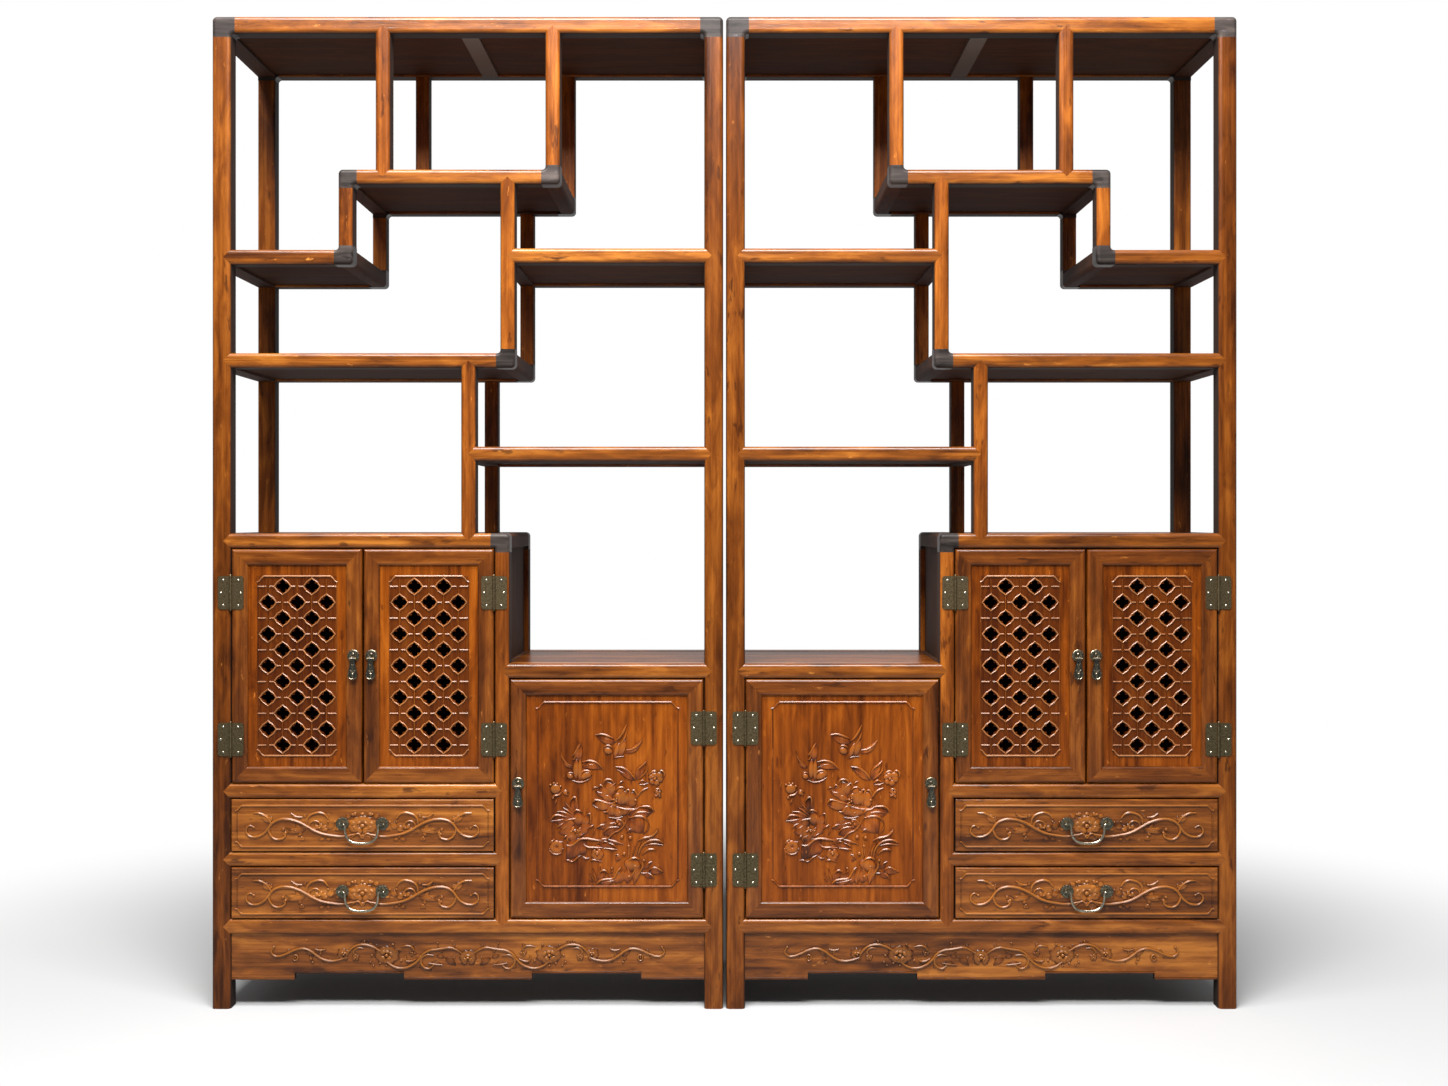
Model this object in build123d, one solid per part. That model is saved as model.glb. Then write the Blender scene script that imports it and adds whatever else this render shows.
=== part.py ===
"""A pair of display cabinets with stepped shelves, each the mirror of the other.

Each cabinet is a frame of posts and rails, tenoned together, with floating boards. Its upper
part is open. Its lower part has two pierced lattice doors over two drawers on the outer side,
and a lower cupboard with one panelled door on the inner side.

The outer cabinet side is at x = 0, the front plane at y = 0 and the floor at z = 0 while one
cabinet is built. It is then placed left of the pair's centre line, and mirrored for the right.
Lengths are millimetres. "Outer" is the side away from the other cabinet.
"""
from build123d import *
import os

# Overall
CABINET_WIDTH = 1030
CABINET_HEIGHT = 2000
CABINET_DEPTH = 360
PAIR_GAP = 6

# Frame members
POST_WIDTH = 38          # corner posts
INNER_POST_WIDTH = 30    # every other upright
MEMBER_DEPTH = 38        # posts and rails, front to back
RAIL_HEIGHT = 30
TOP_RAIL_HEIGHT = 34
BOTTOM_RAIL_HEIGHT = 31
EDGE_ROUND = 8           # long edges on the outside of the frame
INNER_ROUND = 3          # long edges on the inside of the frame
CORNER_ROUND = 9         # outer corner of a dark corner block
HOLLOW_ROUND = 7         # inner corner of a dark corner block
BLOCK_ARM = 8            # how far a corner block runs on past the crossing

# Joinery
TENON_THICKNESS = 10
TENON_LENGTH = 12
TENON_SHOULDER = 7
POINT_DEPTH = 12         # thickness of the pointed, mitred tip on the front of a joint
TONGUE = 6               # how far a board or panel sits in its groove
TONGUE_THICKNESS = 8
BOARD_TOP_STEP = 1       # board surface below the top of its rails
BOARD_UNDER_STEP = 5     # board underside above the bottom of its rails
PANEL_THICKNESS = 10

# Centre heights of the rails
HIGH_SHELF = 1677
OUTER_SHELF = 1515
INNER_SHELF = 1518
LONG_SHELF = 1306.5
LOW_SHELF = 1118
CASE_TOP = 943
COUNTER = 680.5
CUPBOARD_RAIL = 438.5
DRAWER_RAIL = 301
BOTTOM_RAIL = 165.5

# Centres of the uprights, from the outer side
STUB_POST = 269
FIRST_POST = 344
FIRST_POST_BACK_OFFSET = 20
FOURTH_POST = 516.5
CASE_POST = 584.5
THIRD_POST = 595.5
SECOND_POST = 686.5

# Batten under the top board
BATTEN_WIDTH = 36

# Aprons between the feet
APRON_THICKNESS = 14
APRON_SETBACK = 8
APRON_DROP = 93          # from the bottom rail to the lowest edge
APRON_STEP = 12.5        # how much shorter the raised lengths are
APRON_END_LENGTH = 127   # from a post to the first step
APRON_RAISED_LENGTH = 221
SIDE_APRON_DROP = 50

# Doors
DOOR_GAP = 1.5
MEETING_GAP = 3
DOOR_THICKNESS = 22
DOOR_MEMBER = 33         # width of stiles and rails
DOOR_EDGE_ROUND = 6
PANEL_SETBACK = 6        # panel face behind the door's face
GROOVE_DEPTH = 7

# Pierced lattice
LATTICE_ROWS = 11
LATTICE_PITCH_X = 29.5   # between neighbouring columns of holes
LATTICE_PITCH_Z = 32
LATTICE_LOBE = 6         # radius of each of a hole's four lobes
LATTICE_LOBE_OFFSET = 7.4

# Drawers
DRAWER_FRONT_THICKNESS = 20
DRAWER_EDGE_ROUND = 2
DRAWER_LENGTH = 270
DRAWER_SIDE = 12
DRAWER_BOTTOM = 6
DRAWER_BOTTOM_RAISE = 6
DRAWER_SIDE_STEP = 14    # sides lower than the front
RUNNING_GAP = 0.3
GUIDE_GAP = 0.8
RUNNER_THICKNESS = 12
RUNNER_FOOT = 18         # how far a runner reaches under the drawer
GUIDE_HEIGHT = 22

# Hinges
LEAF_WIDTH = 26
LEAF_HEIGHT = 67
LEAF_THICKNESS = 1.6
LEAF_CORNER = 6
LEAF_PARTING = 0.4
KNUCKLE_RADIUS = 3
KNUCKLE_LENGTH = 18      # of each of the post's two knuckles
KNUCKLE_GAP = 0.25
PIN_RADIUS = 1.5
PIN_CLEARANCE = 0.05
FINIAL_RADIUS = 2.4
LATTICE_HINGE_INSET = 88
PANEL_HINGE_INSET = 98
SCREW_RADIUS = 1.2
SCREW_LENGTH = 12
SCREW_HEAD_RADIUS = 1.9
SCREW_HEAD_HEIGHT = 0.9
SCREW_END_INSET = 8      # outer screws, from a leaf's ends
SCREW_NEAR = 15          # outer screws, from the hinge pin
SCREW_FAR = 20           # middle screw, from the hinge pin

# Door pulls
LATTICE_PULL_HEIGHT = 712
PANEL_PULL_HEIGHT = 455
ROSETTE_RADIUS = 12
ROSETTE_THICKNESS = 3
LUG_WIDTH = 2.4
LUG_SPREAD = 5.6         # centre of a lug from the middle
PULL_PIN_DROP = 6        # pull pin below the rosette's centre
PULL_PIN_REACH = 8       # pull pin in front of the door
PULL_PIN_RADIUS = 1.2
EYE_RADIUS = 2.6
DROP_LENGTH = 42
DROP_WIDTH = 20
DROP_SHOULDER = 4        # where a drop starts to widen, below its pin
DROP_THICKNESS = 3

# Drawer bails
BAIL_SPREAD = 40         # each mount's centre from the drawer's
BAIL_RAISE = 4           # mounts above the middle of the drawer front
BAIL_PLATE_RADIUS = 13
BAIL_PLATE_THICKNESS = 2.5
BAIL_BOSS_RADIUS = 3.5
BAIL_PIVOT_REACH = 9.5
BAIL_BOSS_END = 3.8      # boss past the pivot
BAIL_WIRE_RADIUS = 2
BAIL_END = 1.5           # wire past the boss
BAIL_DROP = 38
BAIL_SHOULDER_DROP = 20
BAIL_FOOT_HALF = 23
BAIL_BEND = 3
BAIL_SWEEP = 20
BAIL_CLEARANCE = 0.05

POINTED, SQUARE = "pointed", "square"
OVERRUN = 1              # how far cutters run past a face

# Worked out from the above
BACK = CABINET_DEPTH - MEMBER_DEPTH
MEMBER_MIDDLE = MEMBER_DEPTH / 2
TOP_RAIL = CABINET_HEIGHT - TOP_RAIL_HEIGHT / 2
INNER_SIDE = CABINET_WIDTH - POST_WIDTH
HALF_INNER = INNER_POST_WIDTH / 2
BOTTOM_TOP = BOTTOM_RAIL + BOTTOM_RAIL_HEIGHT / 2
HARDWARE_REACH = BAIL_PIVOT_REACH + BAIL_BOSS_END
FRONT_Y = (HARDWARE_REACH - CABINET_DEPTH) / 2
LEFT_X = -PAIR_GAP / 2 - CABINET_WIDTH


class Member:
    """One solid of an assembly, and the parts of it that its neighbours are cut to receive."""

    def __init__(self, group, shape, sockets=()):
        self.group = group
        self.shape = shape
        self.sockets = list(sockets)

    def moved(self, change):
        return Member(self.group, change(self.shape), [change(s) for s in self.sockets])


def cuboid(x0, x1, y0, y1, z0, z1):
    return Pos(x0, y0, z0) * Box(x1 - x0, y1 - y0, z1 - z0, align=(Align.MIN,) * 3)


def cylinder_x(x0, x1, y, z, radius):
    return Pos((x0 + x1) / 2, y, z) * Rot(0, 90, 0) * Cylinder(radius, x1 - x0)


def cylinder_y(x, y0, y1, z, radius):
    return Pos(x, (y0 + y1) / 2, z) * Rot(90, 0, 0) * Cylinder(radius, y1 - y0)


def cylinder_z(x, y, z0, z1, radius):
    return Pos(x, y, (z0 + z1) / 2) * Cylinder(radius, z1 - z0)


def face_plane(y):
    """The plane at depth y, with x across and z up, facing the front."""
    return Plane((0, y, 0), x_dir=(1, 0, 0), z_dir=(0, -1, 0))


def slab(outline, y0, y1):
    """An outline in x and z, given a thickness from y0 back to y1."""
    return extrude(face_plane(y1) * outline, y1 - y0, dir=(0, -1, 0))


def prism(points, y0, y1):
    return slab(Polygon(*points, align=None), y0, y1)


def meet(box, other):
    """Whether two bounding boxes overlap."""
    return all(
        low < high
        for low, high in (
            (box.min.X, other.max.X), (other.min.X, box.max.X),
            (box.min.Y, other.max.Y), (other.min.Y, box.max.Y),
            (box.min.Z, other.max.Z), (other.min.Z, box.max.Z),
        )
    )


def joined(members, extra_sockets=()):
    """Cuts every member to receive its neighbours, and sorts the solids into their groups."""
    sockets = [(member, s, s.bounding_box()) for member in members for s in member.sockets]
    sockets += [(None, s, s.bounding_box()) for s in extra_sockets]
    groups = {}
    for member in members:
        box = member.shape.bounding_box()
        cutters = [s for owner, s, other in sockets if owner is not member and meet(box, other)]
        shape = member.shape - cutters if cutters else member.shape
        groups.setdefault(member.group, []).extend(shape.solids())
    return groups


# ---------------------------------------------------------------- posts and rails

def bar(group, start, end, height, start_kind, end_kind):
    """A bar along local x, centred on z = 0, with its face at y = 0 and a tenon at each end."""
    half = height / 2
    ends = ((start, -1, start_kind), (end, 1, end_kind))
    low = start - half if start_kind == POINTED else start
    high = end + half if end_kind == POINTED else end
    shape = cuboid(low, high, 0, MEMBER_DEPTH, -half, half)
    shape = fillet(shape.edges().filter_by(Axis.X).group_by(Axis.Y)[0], EDGE_ROUND)
    shape = fillet(shape.edges().filter_by(Axis.X).group_by(Axis.Y)[-1], INNER_ROUND)
    sockets = []
    for at, out, kind in ends:
        if kind == POINTED:
            past = at + out * (half + OVERRUN)
            near, far = sorted((at, past))
            waste = [cuboid(near, far, POINT_DEPTH, MEMBER_DEPTH + OVERRUN,
                            -half - OVERRUN, half + OVERRUN)]
            for side in (-1, 1):
                waste.append(prism([(at - out * OVERRUN, side * (half + OVERRUN)),
                                    (past, side * (half + OVERRUN)),
                                    (past, -side * OVERRUN)], -OVERRUN, POINT_DEPTH))
            shape -= waste
            sockets.append(prism([(at, -half), (at, half), (at + out * half, 0)],
                                 -OVERRUN, POINT_DEPTH))
        near, far = sorted((at, at + out * TENON_LENGTH))
        tenon = cuboid(near, far, MEMBER_MIDDLE - TENON_THICKNESS / 2,
                       MEMBER_MIDDLE + TENON_THICKNESS / 2,
                       -half + TENON_SHOULDER, half - TENON_SHOULDER)
        shape += tenon
        sockets.append(tenon)
    return Member(group, shape, sockets)


def to_back(shape):
    return mirror(shape, about=Plane((0, CABINET_DEPTH / 2, 0), z_dir=(0, 1, 0)))


def front_rail(start, end, centre, start_kind=POINTED, end_kind=POINTED, height=RAIL_HEIGHT):
    made = bar("front_rails", start, end, height, start_kind, end_kind)
    return made.moved(lambda s: Pos(0, 0, centre) * s)


def back_rail(start, end, centre, height=RAIL_HEIGHT):
    made = bar("back_rails", start, end, height, SQUARE, SQUARE)
    return made.moved(lambda s: to_back(Pos(0, 0, centre) * s))


def upright(group, centre, low, high, low_kind, high_kind, width=INNER_POST_WIDTH, back=False):
    kinds = (SQUARE, SQUARE) if back else (low_kind, high_kind)
    made = bar(group, low, high, width, *kinds)
    made = made.moved(lambda s: Pos(centre, 0, 0) * Rot(0, -90, 0) * s)
    return made.moved(to_back) if back else made


def side_rail(outer, width, centre, height=RAIL_HEIGHT, round_side=0, round_up=0):
    """A rail from the front member back to the rear one, rounded on one corner if asked."""
    low, high = centre - height / 2, centre + height / 2
    shape = cuboid(outer, outer + width, MEMBER_DEPTH, BACK, low, high)
    if round_side:
        corner = (outer + width if round_side > 0 else outer, CABINET_DEPTH / 2,
                  high if round_up > 0 else low)
        edge = shape.edges().filter_by(Axis.Y).sort_by_distance(corner)[0]
        shape = fillet(edge, CORNER_ROUND)
    sockets = []
    middle = outer + width / 2
    for near, far in ((MEMBER_DEPTH - TENON_LENGTH, MEMBER_DEPTH), (BACK, BACK + TENON_LENGTH)):
        tenon = cuboid(middle - TENON_THICKNESS / 2, middle + TENON_THICKNESS / 2, near, far,
                       low + TENON_SHOULDER, high - TENON_SHOULDER)
        shape += tenon
        sockets.append(tenon)
    return Member("side_rails", shape, sockets)


def corner_block(x, z, along, up, post_width=INNER_POST_WIDTH, rail_height=RAIL_HEIGHT,
                 hollow_round=HOLLOW_ROUND):
    """An L-shaped block at the outer corner (x, z). Its rail runs along, and its post up."""
    rail_end = x + along * (post_width + BLOCK_ARM)
    post_end = z + up * (rail_height + BLOCK_ARM)
    hollow = (x + along * post_width, z + up * rail_height)
    outline = Polygon((x, z), (rail_end, z), (rail_end, hollow[1]), hollow,
                      (hollow[0], post_end), (x, post_end), align=None)
    corner = outline.vertices().sort_by_distance((x, z))[0]
    outline = fillet(corner, CORNER_ROUND)
    corner = outline.vertices().sort_by_distance(hollow)[0]
    outline = fillet(corner, min(hollow_round, BLOCK_ARM))
    shape = slab(outline, 0, MEMBER_DEPTH)
    rim = [
        edge
        for edge in shape.faces().sort_by(Axis.Y)[0].edges()
        if abs(edge.center().X - rail_end) > OVERRUN and abs(edge.center().Z - post_end) > OVERRUN
    ]
    return fillet(rim, EDGE_ROUND)


def corner_blocks():
    """The front block at each place where a rail and a post end in one corner, and the rear one."""
    half = RAIL_HEIGHT / 2
    places = [
        (0, CABINET_HEIGHT, 1, -1, POST_WIDTH, TOP_RAIL_HEIGHT),
        (CABINET_WIDTH, CABINET_HEIGHT, -1, -1, POST_WIDTH, TOP_RAIL_HEIGHT),
        (STUB_POST - HALF_INNER, HIGH_SHELF + half, 1, -1),
        (SECOND_POST + HALF_INNER, HIGH_SHELF - half, -1, 1),
        (STUB_POST + HALF_INNER, OUTER_SHELF - half, -1, 1),
        (THIRD_POST + HALF_INNER, LONG_SHELF - half, -1, 1),
        (CASE_POST + HALF_INNER, CASE_TOP + half, -1, -1, INNER_POST_WIDTH, RAIL_HEIGHT, DOOR_GAP),
    ]
    fronts = [corner_block(*place) for place in places]
    return [Member("corner_blocks", s) for s in fronts + [to_back(s) for s in fronts]]


def posts():
    half = RAIL_HEIGHT / 2
    top = CABINET_HEIGHT - TOP_RAIL_HEIGHT
    made = []
    for back in (False, True):
        for centre in (POST_WIDTH / 2, CABINET_WIDTH - POST_WIDTH / 2):
            foot = upright("corner_posts", centre, 0, top - BLOCK_ARM, SQUARE, SQUARE,
                           POST_WIDTH, back)
            under_floor = cuboid(0, CABINET_WIDTH, 0, CABINET_DEPTH, -TENON_LENGTH, 0)
            foot.shape -= under_floor
            foot.sockets = foot.sockets[1:]
            made.append(foot)
        first = FIRST_POST + (FIRST_POST_BACK_OFFSET if back else 0)
        made += [
            upright("inner_posts", first, HIGH_SHELF + half, top, POINTED, POINTED, back=back),
            upright("inner_posts", SECOND_POST, HIGH_SHELF + half + BLOCK_ARM, top,
                    SQUARE, POINTED, back=back),
            upright("inner_posts", STUB_POST, OUTER_SHELF + half + BLOCK_ARM,
                    HIGH_SHELF - half - BLOCK_ARM, SQUARE, SQUARE, back=back),
            upright("inner_posts", THIRD_POST, LONG_SHELF + half + BLOCK_ARM,
                    HIGH_SHELF - half, SQUARE, POINTED, back=back),
            upright("inner_posts", FOURTH_POST, CASE_TOP + half, LONG_SHELF - half,
                    POINTED, POINTED, back=back),
            upright("inner_posts", CASE_POST, BOTTOM_TOP, CASE_TOP - half - BLOCK_ARM,
                    POINTED, SQUARE, back=back),
        ]
    return made


# Each shelf: outer end, inner end, centre height, and whether each end is a corner block.
SHELVES = {
    "high": (STUB_POST - HALF_INNER, SECOND_POST + HALF_INNER, HIGH_SHELF, True, True),
    "outer": (0, STUB_POST + HALF_INNER, OUTER_SHELF, False, True),
    "inner": (THIRD_POST - HALF_INNER, CABINET_WIDTH, INNER_SHELF, False, False),
    "long": (0, THIRD_POST + HALF_INNER, LONG_SHELF, False, True),
    "low": (FOURTH_POST - HALF_INNER, CABINET_WIDTH, LOW_SHELF, False, False),
    "case_top": (0, CASE_POST + HALF_INNER, CASE_TOP, False, True),
    "counter": (CASE_POST - HALF_INNER, CABINET_WIDTH, COUNTER, False, False),
    "cupboard_floor": (0, CASE_POST + HALF_INNER, CUPBOARD_RAIL, False, False),
}


def end_width(end):
    """The width of the upright that a shelf ends on."""
    return POST_WIDTH if end in (0, CABINET_WIDTH) else INNER_POST_WIDTH


def shelf_rails():
    made = []
    for outer, inner, centre, outer_block, inner_block in SHELVES.values():
        start = outer + end_width(outer) + (BLOCK_ARM if outer_block else 0)
        end = inner - end_width(inner) - (BLOCK_ARM if inner_block else 0)
        made.append(front_rail(start, end, centre, SQUARE if outer_block else POINTED,
                               SQUARE if inner_block else POINTED))
        made.append(back_rail(start, end, centre))
        made.append(side_rail(outer, end_width(outer), centre,
                              round_side=-1 if outer_block else 0, round_up=1))
        inner_up = 1 if centre == CASE_TOP else -1
        made.append(side_rail(inner - end_width(inner), end_width(inner), centre,
                              round_side=1 if inner_block else 0, round_up=inner_up))
    return made


def case_rails():
    start, end = POST_WIDTH, INNER_SIDE
    top_start = POST_WIDTH + BLOCK_ARM
    top_end = INNER_SIDE - BLOCK_ARM
    made = [
        front_rail(top_start, top_end, TOP_RAIL, SQUARE, SQUARE, TOP_RAIL_HEIGHT),
        back_rail(top_start, top_end, TOP_RAIL, TOP_RAIL_HEIGHT),
        side_rail(0, POST_WIDTH, TOP_RAIL, TOP_RAIL_HEIGHT, -1, 1),
        side_rail(INNER_SIDE, POST_WIDTH, TOP_RAIL, TOP_RAIL_HEIGHT, 1, 1),
        front_rail(start, CASE_POST - HALF_INNER, DRAWER_RAIL),
        front_rail(start, end, BOTTOM_RAIL, height=BOTTOM_RAIL_HEIGHT),
        back_rail(start, end, BOTTOM_RAIL, BOTTOM_RAIL_HEIGHT),
        side_rail(0, POST_WIDTH, BOTTOM_RAIL, BOTTOM_RAIL_HEIGHT),
        side_rail(INNER_SIDE, POST_WIDTH, BOTTOM_RAIL, BOTTOM_RAIL_HEIGHT),
    ]
    return made


# ---------------------------------------------------------------- boards and panels

def board(x0, x1, low, high):
    """A floating board between front and back rails, with a tongue in the frame all round."""
    middle = (low + high) / 2
    tongue = cuboid(x0 - TONGUE, x1 + TONGUE, MEMBER_DEPTH - TONGUE, BACK + TONGUE,
                    middle - TONGUE_THICKNESS / 2, middle + TONGUE_THICKNESS / 2)
    return Member("boards", cuboid(x0, x1, MEMBER_DEPTH, BACK, low, high) + tongue, [tongue])


def boards():
    made = []
    for outer, inner, centre, _, _ in SHELVES.values():
        made.append(board(outer + end_width(outer), inner - end_width(inner),
                          centre - RAIL_HEIGHT / 2 + BOARD_UNDER_STEP,
                          centre + RAIL_HEIGHT / 2 - BOARD_TOP_STEP))
    top_low = CABINET_HEIGHT - TOP_RAIL_HEIGHT + BOARD_UNDER_STEP
    made.append(board(POST_WIDTH, INNER_SIDE, top_low, CABINET_HEIGHT - BOARD_TOP_STEP))
    middle = CABINET_WIDTH / 2
    made.append(Member("boards", cuboid(middle - BATTEN_WIDTH / 2, middle + BATTEN_WIDTH / 2,
                                        MEMBER_DEPTH, BACK,
                                        CABINET_HEIGHT - TOP_RAIL_HEIGHT, top_low)))
    made.append(board(POST_WIDTH, INNER_SIDE, BOTTOM_RAIL - BOTTOM_RAIL_HEIGHT / 2,
                      BOTTOM_TOP - RUNNER_THICKNESS))
    return made


def side_panel(centre, low, high):
    shape = cuboid(centre - PANEL_THICKNESS / 2, centre + PANEL_THICKNESS / 2,
                   MEMBER_DEPTH - TONGUE, BACK + TONGUE, low - TONGUE, high + TONGUE)
    return Member("case_panels", shape, [shape])


def back_panel(start, end, low, high):
    middle = BACK + MEMBER_MIDDLE
    shape = cuboid(start - TONGUE, end + TONGUE, middle - PANEL_THICKNESS / 2,
                   middle + PANEL_THICKNESS / 2, low - TONGUE, high + TONGUE)
    return Member("case_panels", shape, [shape])


def case_panels():
    half = RAIL_HEIGHT / 2
    outer, inner = POST_WIDTH / 2, CABINET_WIDTH - POST_WIDTH / 2
    drawers_top, cupboard_low = CUPBOARD_RAIL - half, CUPBOARD_RAIL + half
    case_high = CASE_TOP - half
    divider_foot = BOTTOM_TOP - RUNNER_THICKNESS + TONGUE
    return [
        side_panel(outer, BOTTOM_TOP, drawers_top),
        side_panel(outer, cupboard_low, case_high),
        side_panel(inner, BOTTOM_TOP, COUNTER - half),
        side_panel(CASE_POST, divider_foot, drawers_top),
        side_panel(CASE_POST, cupboard_low, COUNTER - half),
        side_panel(CASE_POST, COUNTER + half, case_high),
        back_panel(POST_WIDTH, CASE_POST - HALF_INNER, BOTTOM_TOP, drawers_top),
        back_panel(POST_WIDTH, CASE_POST - HALF_INNER, cupboard_low, case_high),
        back_panel(CASE_POST + HALF_INNER, INNER_SIDE, BOTTOM_TOP, COUNTER - half),
    ]


def aprons():
    """The stepped front apron, and a plain one on each side, let into the posts."""
    top = BOTTOM_RAIL - BOTTOM_RAIL_HEIGHT / 2
    low, raised = top - APRON_DROP, top - APRON_DROP + APRON_STEP
    start, end = POST_WIDTH, INNER_SIDE
    near = [start + APRON_END_LENGTH, start + APRON_END_LENGTH + APRON_RAISED_LENGTH]
    far = [start + end - x for x in reversed(near)]
    outline = [(start, top), (start, low)]
    for x0, x1 in (near, far):
        outline += [(x0, low), (x0, raised), (x1, raised), (x1, low)]
    outline += [(end, low), (end, top)]
    y0, y1 = APRON_SETBACK, APRON_SETBACK + APRON_THICKNESS
    shape = prism(outline, y0, y1)
    sockets = [cuboid(start - TONGUE, start, y0, y1, low, top),
               cuboid(end, end + TONGUE, y0, y1, low, top)]
    made = [Member("aprons", shape + sockets, sockets)]
    for centre in (POST_WIDTH / 2, CABINET_WIDTH - POST_WIDTH / 2):
        side = cuboid(centre - APRON_THICKNESS / 2, centre + APRON_THICKNESS / 2,
                      MEMBER_DEPTH - TONGUE, BACK + TONGUE, top - SIDE_APRON_DROP, top)
        made.append(Member("aprons", side, [side]))
    return made


# ---------------------------------------------------------------- drawers

def drawer_openings():
    """Each drawer's opening: lowest and highest height between its rails."""
    half = RAIL_HEIGHT / 2
    return {"upper": (DRAWER_RAIL + half, CUPBOARD_RAIL - half),
            "lower": (BOTTOM_TOP, DRAWER_RAIL - half)}


def drawer_runners():
    """An L-shaped runner each side of each drawer: a foot to slide on and a guide beside it."""
    made = []
    outer_face = POST_WIDTH / 2 + PANEL_THICKNESS / 2
    inner_face = CASE_POST - PANEL_THICKNESS / 2
    for low, _ in drawer_openings().values():
        for wall, opening, out in ((outer_face, POST_WIDTH, 1),
                                   (inner_face, CASE_POST - HALF_INNER, -1)):
            near, far = sorted((wall, opening + out * RUNNER_FOOT))
            foot = cuboid(near, far, MEMBER_DEPTH, BACK, low - RUNNER_THICKNESS, low)
            near, far = sorted((wall, opening))
            made.append(foot + cuboid(near, far, MEMBER_DEPTH, BACK, low, low + GUIDE_HEIGHT))
    return [Member("drawer_runners", s, [s]) for s in made]


def drawer(name, low, high):
    """A drawer's front and box, its bail mounts and its bail."""
    x0, x1 = POST_WIDTH + DOOR_GAP, CASE_POST - HALF_INNER - DOOR_GAP
    z0, z1 = low + DOOR_GAP, high - DOOR_GAP
    front = cuboid(x0, x1, 0, DRAWER_FRONT_THICKNESS, z0, z1)
    front = fillet(front.faces().sort_by(Axis.Y)[0].edges(), DRAWER_EDGE_ROUND)
    centre, mount_z = (x0 + x1) / 2, (z0 + z1) / 2 + BAIL_RAISE
    front_name, box_name = f"{name}_drawer_front", f"{name}_drawer_box"
    side_low, side_high = low + RUNNING_GAP, high - DRAWER_SIDE_STEP
    back = DRAWER_FRONT_THICKNESS + DRAWER_LENGTH
    box_x0 = POST_WIDTH + GUIDE_GAP
    box_x1 = CASE_POST - HALF_INNER - GUIDE_GAP
    members = [Member(front_name, front)]
    for side_x in (box_x0, box_x1 - DRAWER_SIDE):
        side = cuboid(side_x, side_x + DRAWER_SIDE, DRAWER_FRONT_THICKNESS, back,
                      side_low, side_high)
        middle = side_x + DRAWER_SIDE / 2
        pin = cuboid(middle - DRAWER_SIDE / 4, middle + DRAWER_SIDE / 4,
                     DRAWER_FRONT_THICKNESS - TONGUE, DRAWER_FRONT_THICKNESS,
                     z0 + TENON_SHOULDER, side_high - TENON_SHOULDER)
        members.append(Member(box_name, side + pin, [pin]))
    inside_x0, inside_x1 = box_x0 + DRAWER_SIDE, box_x1 - DRAWER_SIDE
    rear = cuboid(inside_x0, inside_x1, back - DRAWER_SIDE, back,
                  side_low + DRAWER_BOTTOM_RAISE + DRAWER_BOTTOM, side_high)
    members.append(Member(box_name, rear))
    groove = TONGUE / 2
    bottom = cuboid(inside_x0 - groove, inside_x1 + groove, DRAWER_FRONT_THICKNESS - groove, back,
                    side_low + DRAWER_BOTTOM_RAISE,
                    side_low + DRAWER_BOTTOM_RAISE + DRAWER_BOTTOM)
    members.append(Member(box_name, bottom, [bottom]))
    groups = joined(members)
    groups[f"{name}_bail_mounts"] = bail_mounts(centre, mount_z)
    groups[f"{name}_bail"] = [bail(centre, mount_z)]
    return groups


def bail_mounts(centre, height):
    made = []
    for side in (-1, 1):
        x = centre + side * BAIL_SPREAD
        plate = cylinder_y(x, -BAIL_PLATE_THICKNESS, 0, height, BAIL_PLATE_RADIUS)
        boss = cylinder_y(x, -BAIL_PIVOT_REACH - BAIL_BOSS_END, 0, height, BAIL_BOSS_RADIUS)
        hole = cylinder_x(x - BAIL_PLATE_RADIUS, x + BAIL_PLATE_RADIUS, -BAIL_PIVOT_REACH, height,
                          BAIL_WIRE_RADIUS + BAIL_CLEARANCE)
        made += (plate + boss - hole).solids()
    return made


def bail(centre, height):
    """A bent wire whose turned-out ends lie in the bores of its two mounts."""
    end = BAIL_SPREAD + BAIL_BOSS_RADIUS + BAIL_END
    leg = BAIL_SPREAD - BAIL_BOSS_RADIUS - BAIL_BEND
    half_path = [(leg, 0), (leg, -BAIL_SHOULDER_DROP), (BAIL_FOOT_HALF, -BAIL_DROP)]
    points = [(-end, 0)] + [(-x, z) for x, z in half_path] + half_path[::-1] + [(end, 0)]
    path = FilletPolyline(*[(centre + x, -BAIL_PIVOT_REACH, height + z) for x, z in points],
                          radius=[BAIL_BEND, BAIL_SWEEP, BAIL_SWEEP,
                                  BAIL_SWEEP, BAIL_SWEEP, BAIL_BEND])
    start = Plane(path @ 0, z_dir=path % 0)
    return sweep(start * Circle(BAIL_WIRE_RADIUS), path=path).solids()[0]


# ---------------------------------------------------------------- doors

def door_member(length, lean):
    """A door's stile or rail along local x from 0, with its outer edge at z = 0."""
    shape = cuboid(0, length, 0, DOOR_THICKNESS, 0, DOOR_MEMBER)
    shape = fillet(shape.edges().filter_by(Axis.X).group_by(Axis.Y)[0], DOOR_EDGE_ROUND)
    over = OVERRUN
    for at, out in ((0, -1), (length, 1)):
        waste = prism([(at + out * over, -over), (at - out * (DOOR_MEMBER + over),
                       DOOR_MEMBER + over), (at + out * over, DOOR_MEMBER + over)],
                      -over, DOOR_THICKNESS + over)
        shape -= waste
    return lean * shape


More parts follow.
